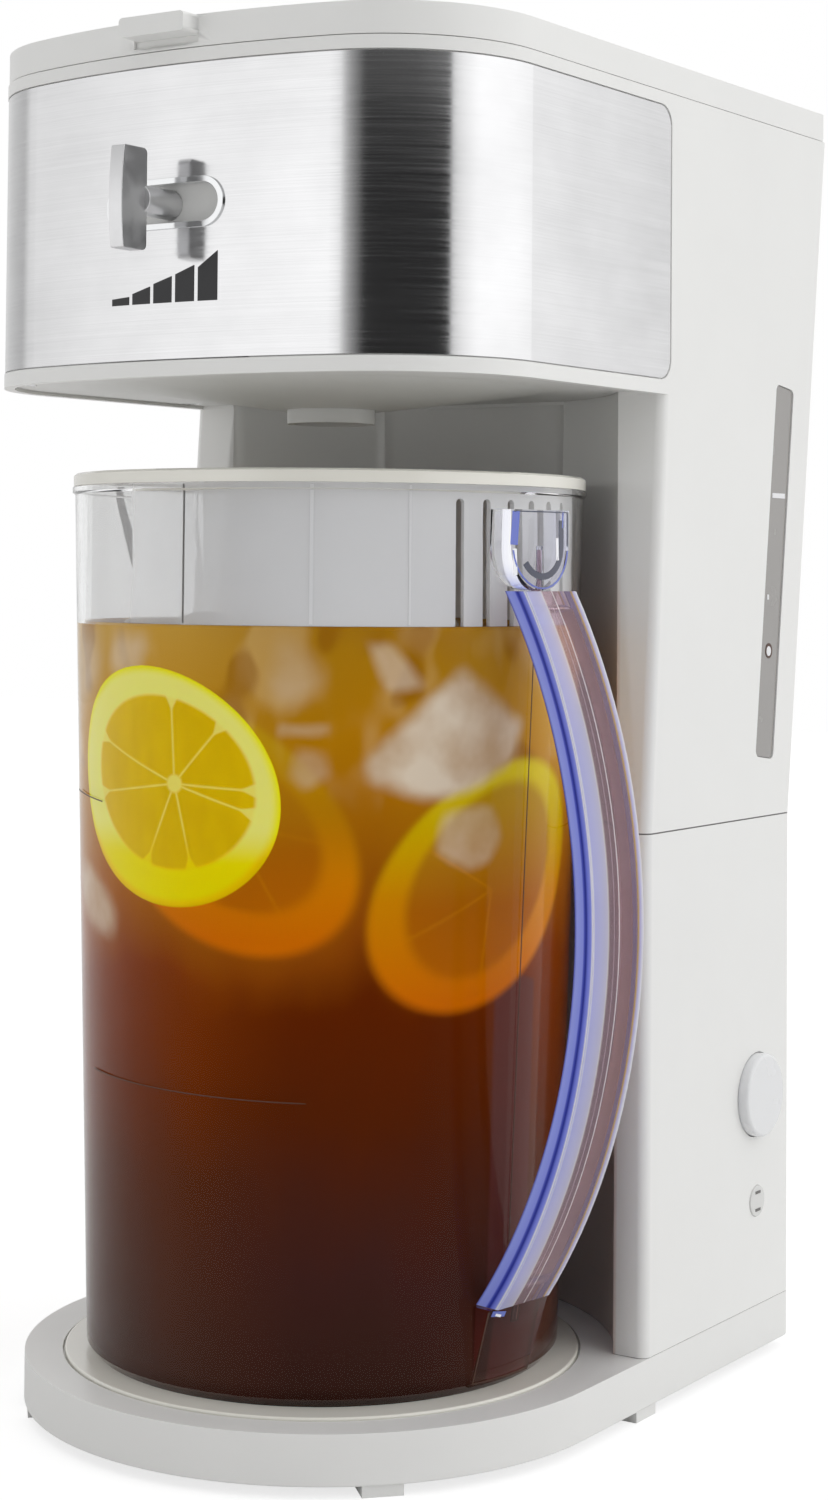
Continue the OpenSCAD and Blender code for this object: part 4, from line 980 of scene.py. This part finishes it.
def soft_slice(paint, colour, wall, outline, flesh, hub, angles, top_share=1):
    """A lemon slice sunk in the tea: yellow above and orange below, without crisp edges.
    The outline and the flesh are ovals, and thin lines leave the hub at the angles."""
    height = paint.split(wall)["Y"]
    middle = outline[0][1]
    rise = paint.fit(height, middle - 30, middle + 30, 0, 1)
    rind = paint.shades(
        rise, (0.0, 198, 102, 0), (0.45, 196, 126, 0), (0.8, 196, 166, 0), (1.0, 206, 186, 20)
    )
    pulp = paint.shades(rise, (0.0, 172, 92, 0), (0.4, 156, 84, 2), (1.0, 172, 132, 20))
    lines = paint.times(paint.spokes(wall, hub, angles, 0.4), 0.25)
    inner = paint.mix(lines, pulp, linear(206, 134, 6))
    face = paint.fade(paint.oval(wall, *flesh), 0.9, 1.06, 1, 0)
    whole = paint.mix(paint.times(face, 0.85), rind, inner)
    share = paint.fade(paint.oval(wall, *outline), 0.94, 1.05, 1, 0)
    fade = paint.fade(height, middle - 16, middle + 8, 1, top_share)
    return paint.mix(paint.times(share, fade), colour, whole)


def soft_slices(paint, colour, wall):
    """Two slices at the front, the lower one behind the solid slice, and two at the back."""
    low = ((-31.5, 169), (44, 29), -34)
    low_flesh = ((-29.5, 170), (32, 20), -34)
    colour = soft_slice(paint, colour, wall, low, low_flesh, (-26, 170), (-60, -12), 0.3)
    right = ((46.3, 152.4), (40, 28.3), 38.5)
    right_flesh = ((46.3, 154), (30.5, 21), 46)
    colour = soft_slice(paint, colour, wall, right, right_flesh, (47, 151), (150, 205, 262))
    back = ((152, 160), (38, 30), 30)
    back_flesh = ((152, 161), (28, 21), 30)
    spokes = (10, 60, 110, 170, 230, 290, 340)
    colour = soft_slice(paint, colour, wall, back, back_flesh, (152, 160), spokes)
    left = ((-150, 165), (36, 32), -20)
    left_flesh = ((-150, 166), (27, 23), -20)
    spokes = (20, 80, 140, 190, 250, 310)
    return soft_slice(paint, colour, wall, left, left_flesh, (-150, 165), spokes)


def tea_paint():
    """The tea, with what floats in it drawn as soft shapes."""
    paint = Paint("tea")
    wall = paint.along_wall()
    # Places shifted a little to and fro, which wears the ice's outlines
    worn = paint.noise(70, output="Color")
    shift = paint.vector("MULTIPLY_ADD", worn, (3.6, 3.6, 0), (-1.8, -1.8, 0))[0]
    soft = paint.vector("ADD", wall, shift)[0]
    colour = tea_ground(paint, wall)
    # A painted reflection of the handle: a darker, redder band on the tea behind it
    handle_reflection = paint.patch(wall, [(49.2, 131), (66, 125), (66, 20), (49.2, 20)], 0.8)
    colour = paint.mix(paint.times(handle_reflection, 0.8), colour, linear(90, 49, 46))
    colour = soft_slices(paint, colour, wall)
    cloud = paint.fit(paint.noise(55, 3), 0.35, 0.65, 0, 1)
    ice = paint.mix(cloud, linear(186, 160, 130), linear(212, 198, 178))
    for corners, blur, strength in (
        (SLICE_ICE, 2.2, 0.5),
        *SMALL_ICE,
        (BIG_ICE, 3.0, 0.95),
    ):
        share = paint.times(paint.patch(soft, corners, blur), strength)
        colour = paint.mix(share, colour, ice)
    lift = (TEA_LIFT, TEA_LIFT, TEA_LIFT, 1)
    paint.set(
        Base_Color=paint.mix(1.0, colour, lift, "MULTIPLY"),
        Roughness=0.5,
        IOR=1.33,
        Normal=paint.bump(paint.noise(40), 0.1, 1),
        Specular_IOR_Level=0.0,
    )
    return paint.material


def make_tea():
    """The tea, up to a raised edge where it meets the wall."""
    bm = bmesh.new()
    around = 128
    steps = 24
    hub_r = 30
    # It fills the look of the clear foot too, which shows no light of its own
    low = FOOT_Z + 0.7
    low_round = 1.4
    low_r = FOOT_R - 2.2
    body_low = low + 4
    profile = [(hub_r, low), (low_r - low_round, low), (low_r, low + low_round)]
    for k in range(steps + 1):
        z = body_low + (TEA_LEVEL - body_low) * k / steps
        profile.append((inner_radius(z) + TEA_SOAK, z))
    edge = inner_radius(TEA_LEVEL)
    edge_rise = 0.9
    edge_run = 2.4
    hub_level = TEA_LEVEL - 0.2
    profile.append((edge - 0.4, TEA_LEVEL + edge_rise))
    profile.append((edge - edge_run, TEA_LEVEL))
    profile.append((hub_r, hub_level))
    rows = [[polar(r, 360 * k / around, z) for k in range(around)] for r, z in profile]
    grid = sheet_through(bm, rows)
    for ring, z in ((grid[0], low), (grid[-1], hub_level)):
        fan(bm, ring, bm.verts.new(at(0, 0, z)))
    add_piece("tea", bm, "pitcher", tea_paint())


# The front slice: its middle along the wall and in height, its half sizes, tilt and thickness,
# and what its colours are multiplied by behind the wall
SLICE_PLACE = (-48.2, 178.4)
SLICE_HALF = (38.6, 32.6)
SLICE_TILT = -24.5
SLICE_THICK = 4.2
LEMON_LIFT = 1.32


def lemon_paint():
    """Cut face of a lemon, drawn in millimetres about the slice's middle."""
    paint = Paint("lemon_face")
    flat = paint.node("ShaderNodeTexCoord").outputs["UV"]
    hub = (5.8, 0.9)
    vesicle = paint.noise(260, 3, (1, 1, 0.35))
    flesh_oval = paint.oval(flat, (2.1, 1.2), (27.6, 22.6), -18)
    widen = paint.fade(flesh_oval, 0.84, 1.04, 0.22, 1.9)
    lines = paint.spokes(flat, hub, (92, 48, -3, -18, -77, -114, -172, 159), widen)
    core = paint.fade(paint.oval(flat, hub, (3, 3)), 0.6, 1, 1, 0)
    skins = paint.times(paint.math("MAXIMUM", lines, core), 0.75)
    pulp = paint.fade(flesh_oval, 0.97, 1.03, 1, 0)
    pulp = paint.times(pulp, paint.math("SUBTRACT", 1.0, skins))
    flesh = paint.mix(vesicle, linear(200, 162, 0), linear(220, 186, 4))
    low = paint.fade(paint.split(flat)["Y"], -10, -20, 0, 1)
    pith = paint.mix(low, linear(238, 220, 112), linear(244, 208, 0))
    rind = paint.mix(low, linear(232, 216, 8), linear(214, 180, 0))
    outline = paint.oval(flat, (0, 0), SLICE_HALF, SLICE_TILT)
    peel = paint.fade(outline, 0.87, 0.95, 0, 1)
    brim = paint.fade(outline, 0.96, 1.0, 0, 0.5)
    colour = paint.mix(peel, paint.mix(pulp, pith, flesh), rind)
    colour = paint.mix(brim, colour, linear(190, 160, 0))
    lift = (LEMON_LIFT, LEMON_LIFT, LEMON_LIFT, 1)
    paint.set(
        Base_Color=paint.mix(1.0, colour, lift, "MULTIPLY"),
        Roughness=0.4,
        IOR=1.36,
        Normal=paint.bump(pulp, 0.3, 0.5),
        Specular_IOR_Level=0.0,
        Subsurface_Weight=0.25,
        Subsurface_Radius=(0.003, 0.002, 0.0006),
    )
    return paint.material


def make_lemon():
    """A slice pressed against the wall and bent with it."""
    bm = bmesh.new()
    rings = 16
    around = 96
    # Where the slice starts to thin towards its rim, and the share of its thickness left there
    rim_from = 0.93
    rim_thick = 0.4
    uv = bm.loops.layers.uv.new("flat")
    flat = {}
    tilt = math.radians(SLICE_TILT)
    bend_r = inner_radius(SLICE_PLACE[1]) + SLICE_SOAK - SLICE_THICK / 2

    def sheet(side):
        hub = bm.verts.new((0, side * SLICE_THICK / 2, 0))
        flat[hub] = (0, 0)
        rows = []
        for ring in range(1, rings + 1):
            share = ring / rings
            edge = math.sqrt(1 - max(0, (share - rim_from) / (1 - rim_from)) ** 2)
            half = side * SLICE_THICK / 2 * (rim_thick + (1 - rim_thick) * edge)
            row = []
            for k in range(around):
                angle = math.tau * k / around
                a = share * SLICE_HALF[0] * math.cos(angle)
                b = share * SLICE_HALF[1] * math.sin(angle)
                x = a * math.cos(tilt) - b * math.sin(tilt)
                z = a * math.sin(tilt) + b * math.cos(tilt)
                vert = bm.verts.new((x, half, z))
                flat[vert] = (x, z)
                row.append(vert)
            rows.append(row)
        fan(bm, rows[0], hub)
        stitch(bm, *rows)
        return rows[-1]

    stitch(bm, sheet(-1), sheet(1))
    for face in bm.faces:
        for loop in face.loops:
            loop[uv].uv = flat[loop.vert]
    for vert in bm.verts:
        x, y, z = vert.co
        reach = bend_r - y
        angle = x / bend_r
        vert.co = Vector((reach * math.sin(angle), bend_r - reach * math.cos(angle), z)) * MM
    azimuth = FILL_FRONT + math.degrees(SLICE_PLACE[0] / FILL_R)
    outwards = Matrix.Rotation(math.radians(azimuth + 90), 4, "Z")
    lean = Matrix.Rotation(math.atan(TAPER), 4, "X")
    spot = Matrix.Translation(polar(bend_r, azimuth, SLICE_PLACE[1]))
    bmesh.ops.transform(bm, matrix=spot @ outwards @ lean, verts=bm.verts[:])
    add_piece("lemon_slice", bm, "pitcher", lemon_paint())


def ice_paint():
    paint = Paint("ice")
    cloud = paint.noise(60, 4)
    paint.set(
        Base_Color=paint.mix(cloud, linear(206, 186, 156), linear(234, 224, 210)),
        Roughness=paint.cloud(0.08, 0.3, 150),
        Transmission_Weight=0.35,
        IOR=1.31,
    )
    return paint.material


def ice_lump(name, size, place, turn, seed, material):
    """A half-melted cube: a rounded box with worn, uneven faces."""
    bm = bmesh.new()
    bmesh.ops.create_cube(bm, size=2)
    bmesh.ops.subdivide_edges(bm, edges=bm.edges[:], cuts=9, use_grid_fill=True)
    rounding = 0.45
    wear = 0.22
    wear_scale = 1.3
    for vert in bm.verts:
        core = Vector([max(-1 + rounding, min(1 - rounding, c)) for c in vert.co])
        vert.co = core + (vert.co - core).normalized() * rounding
        worn = noise.noise(vert.co * wear_scale + Vector((seed, seed, 0))) * wear
        vert.co += vert.co.normalized() * worn
        vert.co = Vector([c * s for c, s in zip(vert.co, size)]) * MM
    spin = Matrix.Rotation(math.radians(turn[0]), 4, "Z")
    lean = Matrix.Rotation(math.radians(turn[1]), 4, "X")
    bmesh.ops.transform(bm, matrix=Matrix.Translation(place) @ spin @ lean, verts=bm.verts[:])
    add_piece(name, bm, "pitcher", material, sharp_from=60)


def make_ice():
    """Ice that floats at the top, a little of each lump above the tea."""
    material = ice_paint()
    chance = random.Random(7)
    count = 11
    size = (10, 10, 9)
    sunk = 7.5
    for k in range(count):
        angle = -60 + 360 * k / count + chance.uniform(-6, 6)
        radius = chance.choice((26, 50, 54))
        spot = polar(radius, angle, TEA_LEVEL - sunk + chance.uniform(-1, 1.5))
        turn = (chance.uniform(0, 90), chance.uniform(-15, 15))
        ice_lump(f"ice_top_{k}", size, spot, turn, 10 + k, material)


# The studio


def make_camera():
    """The photograph's camera: where it looks from and to, its roll, lens and shift."""
    azimuth = math.radians(33.707)
    elevation = math.radians(-2.243)
    roll = math.radians(0.465)
    distance = 802.3
    target = Vector((7.07, 34.67, 267.9))
    away = math.cos(elevation)
    back = Vector((math.sin(azimuth) * away, -math.cos(azimuth) * away, math.sin(elevation)))
    data = bpy.data.cameras.new("camera")
    data.sensor_width = 36
    data.lens = 64.46
    data.shift_x = -0.00237
    data.shift_y = -0.1899
    data.clip_start = 0.05
    data.clip_end = 20
    cam = add_object("camera", data)
    cam.location = at(*(target + back * distance))
    aim = (-back).to_track_quat("-Z", "Y").to_matrix().to_4x4()
    cam.rotation_euler = (aim @ Matrix.Rotation(roll, 4, "Z")).to_euler()
    bpy.context.scene.camera = cam


# The rays that see the white backdrop
SEEING = ("Is Camera Ray", "Is Transmission Ray")


def make_world():
    """A white studio: bright boxes to the left and right, a dark gap between them at the front."""
    world = bpy.data.worlds.new("studio")
    bpy.context.scene.world = world
    world.use_nodes = True
    sky = Graph(world.node_tree)
    room = sky.tree.nodes["Background"]
    backdrop = sky.node("ShaderNodeBackground")
    backdrop.inputs["Color"].default_value = (1, 1, 1, 1)
    surface = sky.tree.nodes["World Output"].inputs["Surface"]
    sky.for_rays(SEEING, surface, room.outputs[0], backdrop.outputs[0])
    x, y, z = sky.split(sky.node("ShaderNodeTexCoord").outputs["Generated"])
    round_about = sky.math("ARCTAN2", x, sky.times(y, -1.0))
    share = sky.math("ADD", sky.math("DIVIDE", round_about, math.tau), 0.5)

    def ring(*stops):
        """Light by degrees round about, from the front to the object's right."""
        return sky.ramp(share, [(turn / 360 + 0.5, (grey, grey, grey, 1)) for turn, grey in stops])

    def blend(low, high, first, second):
        """One light below a height of the sky and another above."""
        return sky.mix(sky.fade(z, low, high, 0, 1), first, second, clamp=False)

    around = ring(
        (-180, 0.55), (-120, 0.5), (-84, 0.36), (-76, 0.58), (-40, 0.74), (-5, 0.84),
        (-3, 0.8), (-1, 0.62), (1.5, 0.4), (6, 0.22), (13, 0.06), (14.6, 0.016),
        (74.6, 0.016), (75.4, 0.52), (84, 0.7), (96, 0.86), (130, 0.86), (148.5, 0.8),
        (149, 0.72), (149.8, 0.63), (151.3, 0.55), (180, 0.55),
    )
    above = ring(
        (-180, 0.5), (-110, 0.6), (-60, 0.36), (0, 0.3), (50, 0.46), (80, 1.04),
        (120, 1.04), (180, 0.5),
    )
    top = (0.68, 0.68, 0.68, 1)
    light = blend(0.7, 0.95, blend(0.15, 0.35, around, above), top)
    sky.feed(room.inputs["Color"], light)
    room.inputs["Strength"].default_value = 1.5


def make_floor():
    """A pale floor that keeps the object's shadow and looks white to the rays that see it."""
    bm = bmesh.new()
    size = 3
    corners = [(-size, -size), (size, -size), (size, size), (-size, size)]
    bm.faces.new([bm.verts.new((x, y, 0)) for x, y in corners])
    floor = add_object("floor", to_mesh("floor", bm, 35))
    paint = Paint("floor")
    grain = paint.mix(paint.noise(9, 3), (0.84, 0.84, 0.84, 1), (0.86, 0.86, 0.86, 1))
    paint.set(Base_Color=grain, Roughness=0.9, Specular_IOR_Level=0.0)
    # The photographed sweep is white, so the rays that see it add light to what it reflects
    glow = paint.node("ShaderNodeEmission")
    glow.inputs["Strength"].default_value = 0.74
    matte = paint.node("ShaderNodeBsdfDiffuse")
    matte.inputs["Color"].default_value = (0.38, 0.38, 0.38, 1)
    white = paint.node("ShaderNodeAddShader")
    paint.feed_all(white, glow.outputs[0], matte.outputs[0])
    paint.for_rays(SEEING, paint.surface, paint.shader.outputs[0], white.outputs[0])
    floor.data.materials.append(paint.material)


def round_edges():
    """Stands a skin with softened edges in for each visible moulding."""
    upper = [(level(HEAD_LOW), 2.4, 4), (level(HEAD_HIGH), 0.5, 2), (level(TOWER_SEAM), 0.5, 2)]
    lower = [(level(TOWER_SEAM), 0.5, 2), (level(BASE_HIGH), 0.4, 2)]
    dress_tower(rounded("upper_housing", upper, seam_face))
    dress_tower(rounded("lower_tower_shell", lower, seam_face))
    rounded("base_shell", [(level(BASE_HIGH), 1.1, 3), (level(BASE_LOW), 0.7, 2)])
    rounded("lid", [(level(LID_HIGH), 2.0, 4), (level(LID_LOW), 0.5, 2)])
    rounded("pitcher_lid", [(level(PITCHER_LID_HIGH), 0.5, 3)])
    rounded("pitcher_rest", [(level(REST_HIGH), 0.6, 3)])
    rounded("strength_knob", [(everywhere, 0.9, 3)])
    button = rounded("power_button", [(button_face, 1.2, 4)])
    button.data.materials[0] = BUTTON
    rounded("slot_trim", [(everywhere, 0.25, 2)])
    handle = rounded("pitcher_handle", [(everywhere, 0.4, 2)], handle_flank)
    handle.data.materials.append(HANDLE_SIDE)
    lens = rounded("indicator_lens", [(everywhere, 0.4, 2)])
    lens.data.materials[0] = LENS


make_camera()
make_world()
make_floor()
dress_nodes()
round_edges()
printed_bars()
window_marks()
pitcher_lines()
handle_end_lines()
make_tea()
make_lemon()
make_ice()

bpy.context.scene.view_settings.view_transform = "Standard"
